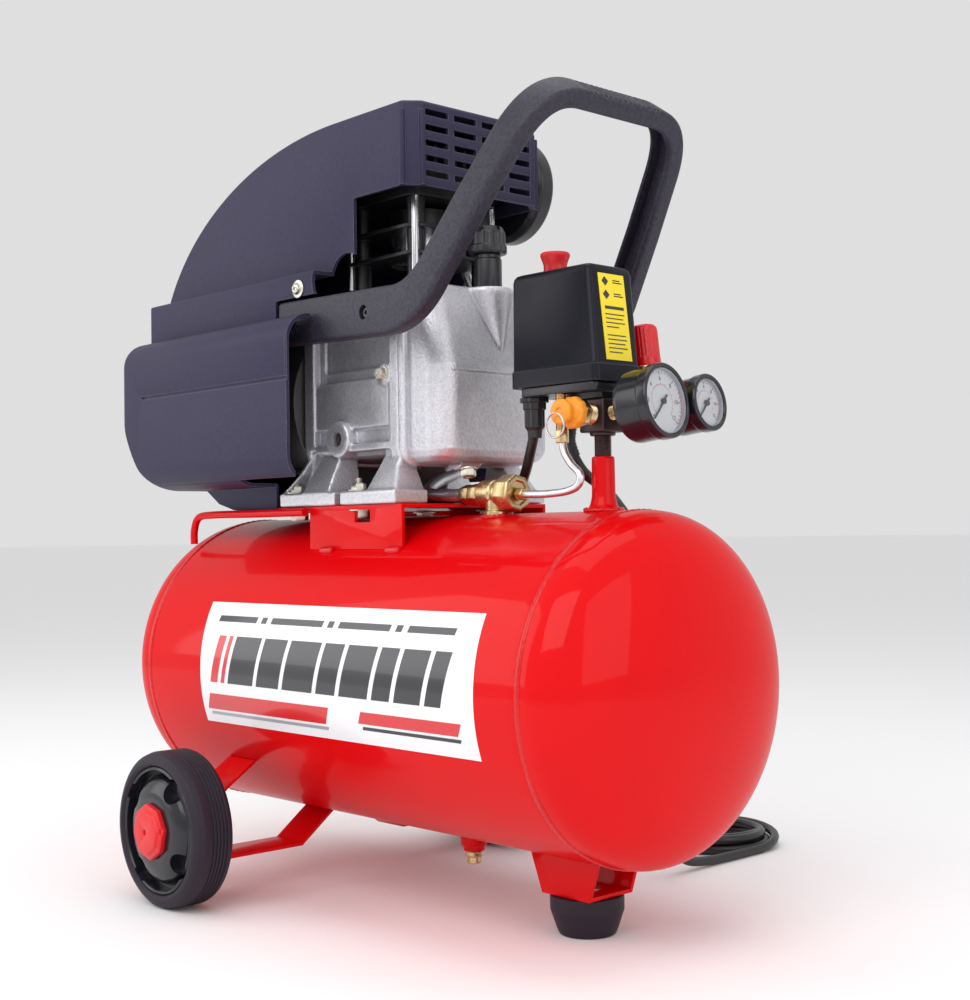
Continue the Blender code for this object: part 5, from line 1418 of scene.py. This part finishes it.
def make_handle():
    """The bar's section is a channel that opens inwards, with ribs across the grip."""
    path = handle_path()
    rings = []
    centre = Vector((0.09, 0.0, 0.47))
    count = len(path)
    for k, (point, wide, width) in enumerate(path):
        before = path[max(k - 1, 0)][0]
        after = path[min(k + 1, count - 1)][0]
        along = (after - before).normalized()
        thin = along.cross(wide).normalized()
        wide = thin.cross(along).normalized()
        if thin.dot(centre - point) > 0:
            thin = -thin
            wide = -wide
        half_w = width / 2
        half_t = HANDLE_THICK / 2
        outer = half_t
        if abs(point.y) < 0.0375 and point.z > 0.56:
            outer -= 0.0016 if (math.floor((point.y + 0.0375) / 0.0025) % 2) else 0.0
        depth = 0.0085 if k > 14 and k < count - 15 else 0.002
        wall = 0.0042
        section = rounded_rectangle(half_w, half_t, 0.0034, 4)
        section = [(u, min(v, outer)) for u, v in section]
        turn = next(i for i, (u, v) in enumerate(section) if v < -half_t + 1e-9)
        channel = [(-half_w + wall, -half_t), (-half_w + wall + 0.0008, -half_t + depth),
                   (half_w - wall - 0.0008, -half_t + depth), (half_w - wall, -half_t)]
        section = section[:turn + 1] + channel + section[turn + 1:]
        rings.append([point + wide * u + thin * v for u, v in section])
    handle = loft("handle", rings)
    for side in (-1, 1):
        for x, y, z in ((-0.057, 0.0895, 0.45), (0.0455, 0.1011, 0.448)):
            ends = sorted((side * (y - 0.0062), side * (y + 0.01)))
            cut(handle, rod("recess", 0.0056, ends[0], ends[1], "Y", (x, 0, z), 32))
    piece(handle, "carry_handle", HANDLE_PLASTIC, "machine", ("handle",), 35.0)
    bolts = []
    for side in (-1, 1):
        for x, y, z in ((-0.057, 0.0832, 0.45), (0.0455, 0.0948, 0.448)):
            head = turned("head", [(0.0, 0.0), (0.0038, 0.0), (0.0038, 0.0026), (0.0033, 0.0031),
                                   (0.0, 0.0031)], "Z", (0, 0, 0), 32)
            cut(head, rod("hex", 0.0021, 0.0012, 0.01, "Z", (0, 0, 0), 6))
            bolts.append(aim(head, (x, side * y, z), (0, side, 0)))
    piece(merge("bolts", bolts), "handle_bolts", STATOR_STEEL, "machine")


# ---------------------------------------------------------------- switch, manifold and gauges

def lean_front(item, middle):
    """Slope the front end of the switch cover forward as it goes down."""
    for vertex in item.data.vertices:
        if vertex.co.x > middle:
            vertex.co.x += SWITCH_LEAN * (SWITCH_Z[1] - vertex.co.z)
    return item


def make_switch():
    softened("switch_base", "switch_plate", 0.0006, BLACK_PLASTIC, "machine")
    mid_x = (SWITCH_X[0] + SWITCH_X[1]) / 2
    half_x = (SWITCH_X[1] - SWITCH_X[0]) / 2
    low, high = SWITCH_Z
    rings = []
    for z, inset, corner in ((low, 0.0004, 0.005), (low + 0.0006, 0.0, 0.0052), (low + 0.0118, 0.0, 0.0052),
                             (low + 0.0126, 0.0006, 0.005), (low + 0.0134, 0.0009, 0.0048),
                             (high - 0.006, 0.0014, 0.0046), (high - 0.003, 0.002, 0.0044),
                             (high - 0.001, 0.0034, 0.004), (high, 0.006, 0.003)):
        outline = rounded_rectangle(half_x - inset, SWITCH_HALF - inset, corner, 6, (mid_x, 0.0))
        rings.append([Vector((u, v, z)) for u, v in outline])
    cover = lean_front(loft("cover", rings), mid_x)
    cut(cover, rod("hole", 0.0093, high - 0.034, high + 0.01, "Z", (KNOB_X, 0, 0), 48))
    piece(cover, "switch_hood", SWITCH_PLASTIC, "machine", ("switch_cover",), 30.0)
    collar = turned("collar", heights(high, (0.0091, -0.001), (0.0112, -0.001), (0.0108, 0.0005),
                                      (0.0094, 0.0006)), "Z", (KNOB_X, 0, 0), 48, 0.0, 0.0002)
    piece(collar, "switch_collar", SWITCH_PLASTIC, "machine")
    profile = heights(high, (0.0, -0.016), (0.0087, -0.016), (0.0085, 0.0062), (0.009, 0.0085),
                      (0.0102, 0.0118), (0.0109, 0.0135), (0.0109, 0.015), (0.01, 0.0162),
                      (0.0, 0.0158))
    knob = turned("knob", profile, "Z", (KNOB_X, 0, 0), 64, 0.0, 0.0006)
    piece(knob, "switch_button", RED_PLASTIC, "power_knob", ("switch_knob",), 30.0)
    screw = round_screw((0.178, 0.0, high + 0.0), (0, 0, 1), 0.0034, 0.0016)
    piece(screw, "switch_screw", ZINC, "machine")
    make_switch_label()


def make_switch_label():
    """Yellow sheet with generic marks: two diamonds, one heavy line and rows of thin lines."""
    x = SWITCH_X[1] - 0.0005
    low = 0.4045
    high = 0.4655
    half = 0.0132
    sheet = box("sheet", (x - 0.0012, x), (-half, half), (low, high))
    sheet.data.materials.append(LABEL_YELLOW)
    parts = [sheet]
    front = (x - 0.0001, x + 0.00012)

    def mark(y0, y1, z0, z1):
        item = box("mark", front, (y0, y1), (z0, z1))
        item.data.materials.append(LABEL_BLACK)
        parts.append(item)

    for z in (high - 0.0055, high - 0.015):
        diamond = rod("diamond", 0.0034, front[0], front[1], "X", (0, -0.0068, z), 4)
        diamond.data.materials.append(LABEL_BLACK)
        parts.append(diamond)
        mark(0.001, 0.0105, z - 0.001, z - 0.0002)
        mark(0.001, 0.0085, z + 0.0006, z + 0.0014)
    mark(-0.0095, 0.01, high - 0.0252, high - 0.023)
    for k, reach in enumerate((0.0098, 0.0082, 0.0095, 0.003)):
        mark(-0.0098, reach, high - 0.0292 - 0.003 * k, high - 0.0284 - 0.003 * k)
    for k, reach in enumerate((0.009, 0.0098, 0.0078, 0.0096, 0.004)):
        mark(-0.0098, reach, high - 0.044 - 0.003 * k, high - 0.0432 - 0.003 * k)
    label = merge("label", parts)
    for vertex in label.data.vertices:
        drop = SWITCH_Z[1] - vertex.co.z
        vertex.co.x += SWITCH_LEAN * drop - 0.0006 * (1.0 - drop / (SWITCH_Z[1] - low))
        vertex.co.y += 0.045 * (drop - 0.04)
    piece(label, "switch_label", None, "machine")


def threaded(name, radius, start, end, axis, centre, pitch=0.001, depth=0.0004):
    """A stub with fine thread ridges."""
    profile = [(0.0, start), (radius - depth, start)]
    count = max(int(abs(end - start) / pitch), 1)
    step = (end - start) / count
    for k in range(count):
        profile += [(radius - depth, start + step * (k + 0.1)), (radius, start + step * (k + 0.5)),
                    (radius - depth, start + step * (k + 0.9))]
    profile += [(radius - depth, end), (0.0, end)]
    return turned(name, profile, axis, centre, 40)


def make_manifold():
    cross = box("cross", (RISER_X - 0.0118, RISER_X + 0.0118), (-0.0118, 0.0118),
                (MANIFOLD_Z - 0.0118, MANIFOLD_Z + 0.0118))
    bevel(cross, 0.0014, 3)
    stem = threaded("stem", 0.0062, RISER_TOP + GAP, MANIFOLD_Z - 0.011, "Z", (RISER_X, 0, 0))
    boss = turned("boss", heights(MANIFOLD_Z, (0.0, -0.0117), (0.0094, -0.0117), (0.0088, -0.0142),
                                  (0.0, -0.0142)), "Z",
                  (RISER_X, 0, 0), 40, 0.0, 0.0008)
    piece(merge("manifold", [cross, stem, boss]), "manifold_block", DARK_STEEL, "machine",
          ("manifold",), 35.0)

    start = 0.0118 + GAP
    spot = (RISER_X, 0, MANIFOLD_Z + 0.001)
    neck = threaded("neck", 0.0075, -start, -start - 0.0072, "Y", spot)
    nut = turned("nut", [(0.0, -start - 0.007), (0.0092, -start - 0.007), (0.01, -start - 0.008),
                         (0.01, -start - 0.0132), (0.0092, -start - 0.014), (0.0, -start - 0.014)],
                 "Y", spot, 6, math.radians(12))
    piece(merge("valve", [neck, bevel(nut, 0.0004, 2)]), "relief_body", BRASS, "machine",
          ("safety_valve_body",), 35.0)
    face = -start - 0.014 - GAP
    profile = heights(face, (0.0, 0.0), (0.0104, 0.0), (0.0111, -0.0014), (0.0112, -0.005),
                      (0.0104, -0.0068), (0.0074, -0.0082), (0.007, -0.0105), (0.0082, -0.0125),
                      (0.0092, -0.0145), (0.009, -0.0168), (0.0078, -0.018), (0.003, -0.018),
                      (0.0026, -0.0168), (0.0, -0.0168))
    cap = turned("cap", profile, "Y", spot, 96, 0.0, 0.0008,
                 waves=lambda a, r, h: r * (1 + 0.03 * math.cos(10 * a)) if r > 0.01 else r)
    piece(cap, "relief_cap", ORANGE, "machine", ("safety_valve_cap",), 30.0)
    ring_y = face - 0.0215
    points = []
    turns = 1.9
    steps = 110
    for k in range(steps + 1):
        angle = 2 * math.pi * turns * k / steps
        points.append(Vector((RISER_X + 0.0085 * math.cos(angle), ring_y - 0.0006 + 0.0012 * k / steps,
                              MANIFOLD_Z - 0.0085 + 0.0085 * math.sin(angle))))
    ring = tube_mesh("ring", points, lambda share: 0.00058, 12)
    piece(ring, "pull_ring", BRIGHT_STEEL, "release_ring", ("safety_ring",), 60.0)


def make_regulator():
    """Barrel, grip and outlet tail, leaning back together about the point where the arm meets them."""
    place = Matrix.Translation((REGULATOR_X, REGULATOR_Y, MANIFOLD_Z)) @ Matrix.Rotation(-GAUGE_TILT, 4, "Y")
    y0 = 0.0118 + GAP - REGULATOR_Y
    arm = (RISER_X - REGULATOR_X, 0, 0)
    neck = threaded("neck", 0.0065, y0, -0.011, "Y", arm)
    hexagon = turned("hexagon", heights(y0, (0.0, 0.006), (0.0085, 0.006), (0.0085, 0.012),
                                        (0.0, 0.012)),
                     "Y", arm, 6)
    top = KNOB_START - GAP
    barrel = turned("barrel", [(0.0, -0.01), (0.012, -0.01), (0.0135, -0.0085), (0.0135, 0.012),
                               (0.0128, 0.0128), (0.0128, 0.024), (0.012, 0.025), (0.012, top - 0.005),
                               (0.0132, top - 0.0044), (0.0132, top), (0.0, top)], "Z", (0, 0, 0), 64,
                    0.0, 0.0006)
    body = merge("body", [neck, bevel(hexagon, 0.0004, 2), barrel])
    body.data.transform(place)
    piece(body, "regulator_barrel", BRASS, "machine", ("regulator_body",), 35.0)
    low = KNOB_START
    profile = heights(low, (0.0, 0.0), (0.01, 0.0), (0.0105, 0.0006), (0.0105, 0.006),
                      (0.0101, 0.0066), (0.0101, 0.0268), (0.0096, 0.0292), (0.0082, 0.0308),
                      (0.0, 0.0312))
    knob = turned("knob", profile, "Z", (0, 0, 0), 144, 0.0, 0.0006,
                  waves=lambda a, r, h: r * (1 + 0.018 * math.cos(24 * a)) if 0.0097 < r < 0.0103 else r)
    knob.data.transform(place)
    piece(knob, "regulator_grip", GLOSS_RED, "pressure_knob", ("regulator_knob",), 30.0)
    end = 0.0135 + 0.001
    hexagon = turned("hexagon", heights(end, (0.0, 0.0), (0.0085, 0.0), (0.0085, 0.01),
                                        (0.0, 0.01)), "Y",
                     (0, 0, 0), 6)
    thread = threaded("thread", 0.0062, end + 0.0098, end + 0.0215, "Y", (0, 0, 0))
    tail = merge("tail", [bevel(hexagon, 0.0005, 2), thread])
    tail.data.transform(place)
    piece(tail, "outlet_thread", BRASS, "machine", ("outlet_tail",), 35.0)


def dial_mark(parts, radius_in, radius_out, angle, half_width, level, look):
    """One graduation line on a dial that faces +X."""
    out = Vector((0, math.cos(angle), math.sin(angle)))
    across = Vector((0, -math.sin(angle), math.cos(angle)))
    ring = [out * radius_in - across * half_width, out * radius_out - across * half_width,
            out * radius_out + across * half_width, out * radius_in + across * half_width]
    bar = loft("bar", [[p + Vector((x, 0, 0)) for p in ring] for x in (level, level + 0.00012)])
    bar.data.materials.append(look)
    parts.append(bar)


def dial_number(parts, text, radius, angle, height, level, look):
    line = bpy.data.curves.new("number", "FONT")
    line.body = text
    line.size = height
    line.align_x = "CENTER"
    line.align_y = "CENTER"
    line.extrude = 0.00005
    item = link(bpy.data.objects.new("number", line))
    mesh = bpy.data.meshes.new_from_object(item)
    bpy.data.objects.remove(item, do_unlink=True)
    place = Matrix(((0, 0, 1, level + 0.0001), (1, 0, 0, radius * math.cos(angle)),
                    (0, 1, 0, radius * math.sin(angle)), (0, 0, 0, 1)))
    mesh.transform(place)
    number = link(bpy.data.objects.new("number", mesh))
    number.data.materials.clear()
    number.data.materials.append(look)
    parts.append(number)


def make_gauge(label, start, radius, end, top_mark):
    """Case with its bezel, inner wall painted grey as shade on a white wall, printed dial, clear lens and
    brass stem.
    """
    place = (Matrix.Translation(start) @ Matrix.Rotation(GAUGE_YAW, 4, "Z")
             @ Matrix.Rotation(-GAUGE_TILT, 4, "Y"))
    stem = end - 0.03
    profile = [(0.0, stem), (radius * 0.8, stem), (radius * 0.93, stem + 0.0012),
               (radius * 0.955, stem + 0.004),
               (radius * 0.955, end - 0.009), (radius, end - 0.008), (radius, end - 0.0012),
               (radius - 0.0008, end), (radius - 0.0026, end), (radius - 0.0032, end - 0.0008),
               (radius - 0.0038, end - 0.0054), (0.0, end - 0.0054)]
    case = turned("case", profile, "X", (0, 0, 0), 96, 0.0, 0.0006)
    case.data.transform(place)
    piece(case, label + "_housing", GAUGE_BLACK, "machine", (label + "_case",), 30.0)
    neck = threaded("neck", 0.005, 0.0, stem + 0.001, "X", (0, 0, 0))
    nut = turned("nut", [(0.0, stem * 0.35), (0.0064, stem * 0.35), (0.0064, stem * 0.85),
                         (0.0, stem * 0.85)],
                 "X", (0, 0, 0), 6, math.radians(15))
    fitting = merge("fitting", [neck, bevel(nut, 0.0003, 2)])
    fitting.data.transform(place)
    piece(fitting, label + "_stem", BRASS, "machine", (), 35.0)
    level = end - 0.0052
    dial_radius = radius - 0.0039
    face = rod("face", dial_radius, level - 0.0003, level, "X", (0, 0, 0), 96)
    wall = turned("wall", [(dial_radius + 0.0001, level - 0.0002), (dial_radius + 0.0001, end - 0.0016),
                           (dial_radius - 0.0004, end - 0.0017), (dial_radius - 0.0004, level - 0.0002)], "X",
                  (0, 0, 0), 96)
    face.data.materials.append(DIAL_WHITE)
    wall.data.materials.append(DIAL_WALL_SHADE)
    parts = [face, wall]
    span = math.radians(270.0)
    first = math.radians(-135.0)
    steps = top_mark * 5 // 2
    for k in range(steps + 1):
        angle = first - span * k / steps + math.radians(0.0)
        long_line = k % 5 == 0
        inner = dial_radius * (0.82 if long_line else 0.88)
        dial_mark(parts, inner, dial_radius * 0.94, angle, dial_radius * (0.012 if long_line else 0.006),
                  level, DIAL_BLACK)
    for k in range(37):
        angle = first - span * k / 36
        dial_mark(parts, dial_radius * 0.5, dial_radius * (0.57 if k % 3 == 0 else 0.54), angle,
                  dial_radius * 0.008, level, DIAL_RED)
    for k in range(0, top_mark + 1, 2):
        angle = first - span * k / top_mark
        dial_number(parts, str(k), dial_radius * 0.7, angle, dial_radius * 0.2, level, DIAL_BLACK)
    for k in range(9):
        angle = first - span * (27.5 + k) / 36
        dial_mark(parts, dial_radius * 0.955, dial_radius * 0.985, angle, dial_radius * 0.04, level, DIAL_RED)
    dial = merge("dial", parts)
    dial.data.transform(place)
    piece(dial, label + "_dial", None, "machine", (), 30.0)
    lens = turned("lens", heights(end, (0.0, -0.0016), (radius - 0.003, -0.0016),
                                  (radius - 0.003, -0.0008), (radius * 0.5, -0.0003),
                                  (0.0, -0.0002)), "X", (0, 0, 0), 64)
    lens.data.transform(place)
    piece(lens, label + "_lens", LENS, "machine", (), 60.0)


# ---------------------------------------------------------------- pipes and leads

def make_check_valve():
    spot = (0, -0.02, 0.314)
    tail = turned("tail", [(0.0, 0.0745), (0.0078, 0.0745), (0.0085, 0.0752), (0.0085, 0.0855),
                           (0.008, 0.0862),
                           (0.0, 0.0862)], "X", spot, 6, math.radians(20))
    body = turned("body", [(0.0, 0.0855), (0.0092, 0.0858), (0.0104, 0.0872), (0.0104, 0.1), (0.0096, 0.101),
                           (0.0096, 0.103), (0.0105, 0.104), (0.0105, 0.109), (0.0, 0.109)], "X", spot, 64,
                  0.0, 0.0005)
    nut = turned("nut", [(0.0, 0.1086), (0.0132, 0.1086), (0.014, 0.1094), (0.014, 0.1216), (0.0132, 0.123),
                         (0.0095, 0.123), (0.009, 0.1222), (0.0, 0.1222)], "X", spot, 8, math.radians(10))
    neck = turned("neck", [(0.0, 0.2955), (0.0098, 0.2955), (0.0098, 0.301), (0.0085, 0.3016),
                           (0.0085, 0.314), (0.0, 0.314)], "Z", (0.1, spot[1], 0), 48, 0.0, 0.0004)
    valve = merge("valve", [bevel(tail, 0.0004, 2), body, bevel(nut, 0.0006, 2), neck])
    piece(valve, "check_valve_body", BRASS, "machine", ("check_valve",), 35.0)
    ring = weld_ring("ring", (0.1, -0.02, TANK_Z + math.sqrt(TANK_R ** 2 - 0.02 ** 2) + 0.0003),
                     (0, -0.16, 1), 0.0105, 0.0017)
    piece(ring, "weld_valve", RED_SEAM, "machine", (), 80.0)


DISCHARGE = [(0.0742, -0.02, 0.314), (0.045, -0.02, 0.3145), (0.01, -0.01, 0.3175),
             (-0.01, 0.018, 0.327), (-0.0145, 0.046, 0.336), (-0.013, 0.064, 0.348),
             (-0.012, 0.0695, 0.37), (-0.012, 0.0695, 0.43), (-0.012, 0.0685, 0.468),
             (-0.0135, 0.061, 0.493), (-0.021, 0.057, 0.515),
             (-0.0255, 0.0575, 0.543), (-0.026, 0.053, 0.5562), (-0.026, 0.0466, 0.5562)]
UNLOADER = [(0.166, -0.0175, 0.356), (0.1675, -0.0175, 0.343), (0.1745, -0.0175, 0.333),
            (0.184, -0.018, 0.324), (0.18, -0.019, 0.316), (0.156, -0.02, 0.3125),
            (0.1234, -0.02, 0.313)]
MOTOR_LEAD = [(0.131, -0.01, 0.3822), (0.1305, -0.01, 0.36), (0.122, -0.006, 0.344),
              (0.108, 0.002, 0.329), (0.09, 0.012, 0.318), (0.06, 0.023, 0.3145),
              (0.01, 0.029, 0.314), (-0.05, 0.03, 0.314), (-0.1, 0.03, 0.314)]


def make_pipes():
    for name, route, radius, look, slot, node in (
            ("discharge_pipe", DISCHARGE, 0.0048, BRIGHT_TUBE, "bright_tube", "discharge_tube"),
            ("unloader_pipe", UNLOADER, 0.0028, BRIGHT_TUBE, "bright_tube", "unloader_tube"),
            ("motor_cable", MOTOR_LEAD, 0.0038, LEAD_RUBBER, "lead_rubber", "motor_lead")):
        bar = tube_mesh("bar", smooth_route(route, 0.003), lambda share, r=radius: r, 24)
        piece(bar, name, look, "machine", (node,), 50.0)
    nuts = []
    nut = turned("nut", [(0.0, 0.0642), (0.0072, 0.0642), (0.008, 0.0652), (0.008, 0.0742), (0.0, 0.0742)],
                 "X", (0, -0.02, 0.314), 6, math.radians(20))
    nuts.append(bevel(nut, 0.0004, 2))
    nut = turned("nut", [(0.0, 0.0468), (0.0084, 0.0468), (0.0084, 0.054), (0.0076, 0.0548), (0.0, 0.0548)],
                 "Y", (-0.026, 0, 0.5562), 6)
    nuts.append(bevel(nut, 0.0004, 2))
    nut = turned("nut", [(0.0, 0.1236), (0.005, 0.1236), (0.005, 0.1296), (0.0044, 0.1302), (0.0, 0.1302)],
                 "X", (0, -0.02, 0.313), 6)
    nuts.append(bevel(nut, 0.0003, 2))
    nut = turned("nut", [(0.0, 0.348), (0.0044, 0.348), (0.005, 0.3486), (0.005, 0.357), (0.0, 0.357)],
                 "Z", (0.1661, -0.0175, 0), 6)
    nuts.append(bevel(nut, 0.0003, 2))
    piece(merge("nuts", nuts), "pipe_nuts", BRASS, "machine")
    elbow = threaded("elbow", 0.0046, 0.3566, SWITCH_Z[0] - GAP - SWITCH_BASE, "Z", (0.1661, -0.0175, 0))
    piece(elbow, "unloader_valve", BRASS, "machine")


# ---------------------------------------------------------------- stage

def area_light(name, place, aim_at, width, height, power, colour=(1.0, 1.0, 1.0)):
    light = bpy.data.lights.new(name, "AREA")
    light.shape = "RECTANGLE"
    light.size = width
    light.size_y = height
    light.energy = power
    light.color = colour
    item = link(bpy.data.objects.new(name, light))
    direction = Vector(aim_at) - Vector(place)
    turn = direction.to_track_quat("-Z", "Y").to_matrix().to_4x4()
    item.matrix_world = Matrix.Translation(Vector(place)) @ turn
    return item


def make_stage():
    floor = make_mesh("floor", [(-60, -60, 0), (60, -60, 0), (60, 60, 0), (-60, 60, 0)], [(0, 1, 2, 3)])
    paint = bpy.data.materials.new("floor_paint")
    paint.use_nodes = True
    shader = paint.node_tree.nodes["Principled BSDF"]
    shader.inputs["Base Color"].default_value = (0.93, 0.93, 0.94, 1.0)
    shader.inputs["Roughness"].default_value = 0.85
    shader.inputs["Specular IOR Level"].default_value = 0.1
    floor.data.materials.append(paint)
    world = bpy.data.worlds.new("studio")
    world.use_nodes = True
    sky = world.node_tree.nodes["Background"]
    sky.inputs["Color"].default_value = (1.0, 1.0, 1.0, 1.0)
    sky.inputs["Strength"].default_value = 0.74
    bpy.context.scene.world = world
    bpy.context.scene.view_settings.view_transform = "Standard"
    area_light("key", (0.6, -1.5, 1.5), (0.0, 0.0, 0.25), 1.6, 1.2, 15)
    area_light("fill", (1.9, -0.1, 0.9), (0.05, 0.0, 0.3), 1.2, 1.4, 6)
    area_light("left", (-1.3, -1.3, 0.9), (-0.05, 0.0, 0.3), 1.0, 1.4, 7)
    area_light("top", (0.0, 0.1, 1.9), (0.0, 0.0, 0.3), 1.6, 1.2, 8)


def finish_inner_parts():
    repaint(PISTON_ALLOY, "piston", "connecting_rod")
    repaint(BRIGHT_STEEL, "crankshaft", "crank_pin")
    repaint(STATOR_STEEL, "rotor")
    repaint(GAUGE_BLACK, "tank_gauge_needle", "outlet_gauge_needle")


make_tank()
make_label()
make_riser()
make_drain()
make_front_foot()
make_wheel(-1, "near")
make_wheel(1, "far")
make_saddle()
make_crankcase()
make_cover()
make_case_bolts()
make_breather()
make_cylinder()
make_intake()
make_motor()
make_shroud()
make_fan_cover()
make_handle()
make_switch()
make_manifold()
make_regulator()
make_gauge("tank_gauge", (RISER_X + 0.0118 + 0.0012, -0.0046, MANIFOLD_Z + 0.001), 0.0263, 0.048, 12)
make_gauge("outlet_gauge", (REGULATOR_X + 0.0135 + 0.0016, 0.0444, MANIFOLD_Z + 0.0035), 0.0205, 0.0375, 12)
make_check_valve()
make_pipes()
finish_inner_parts()
make_stage()
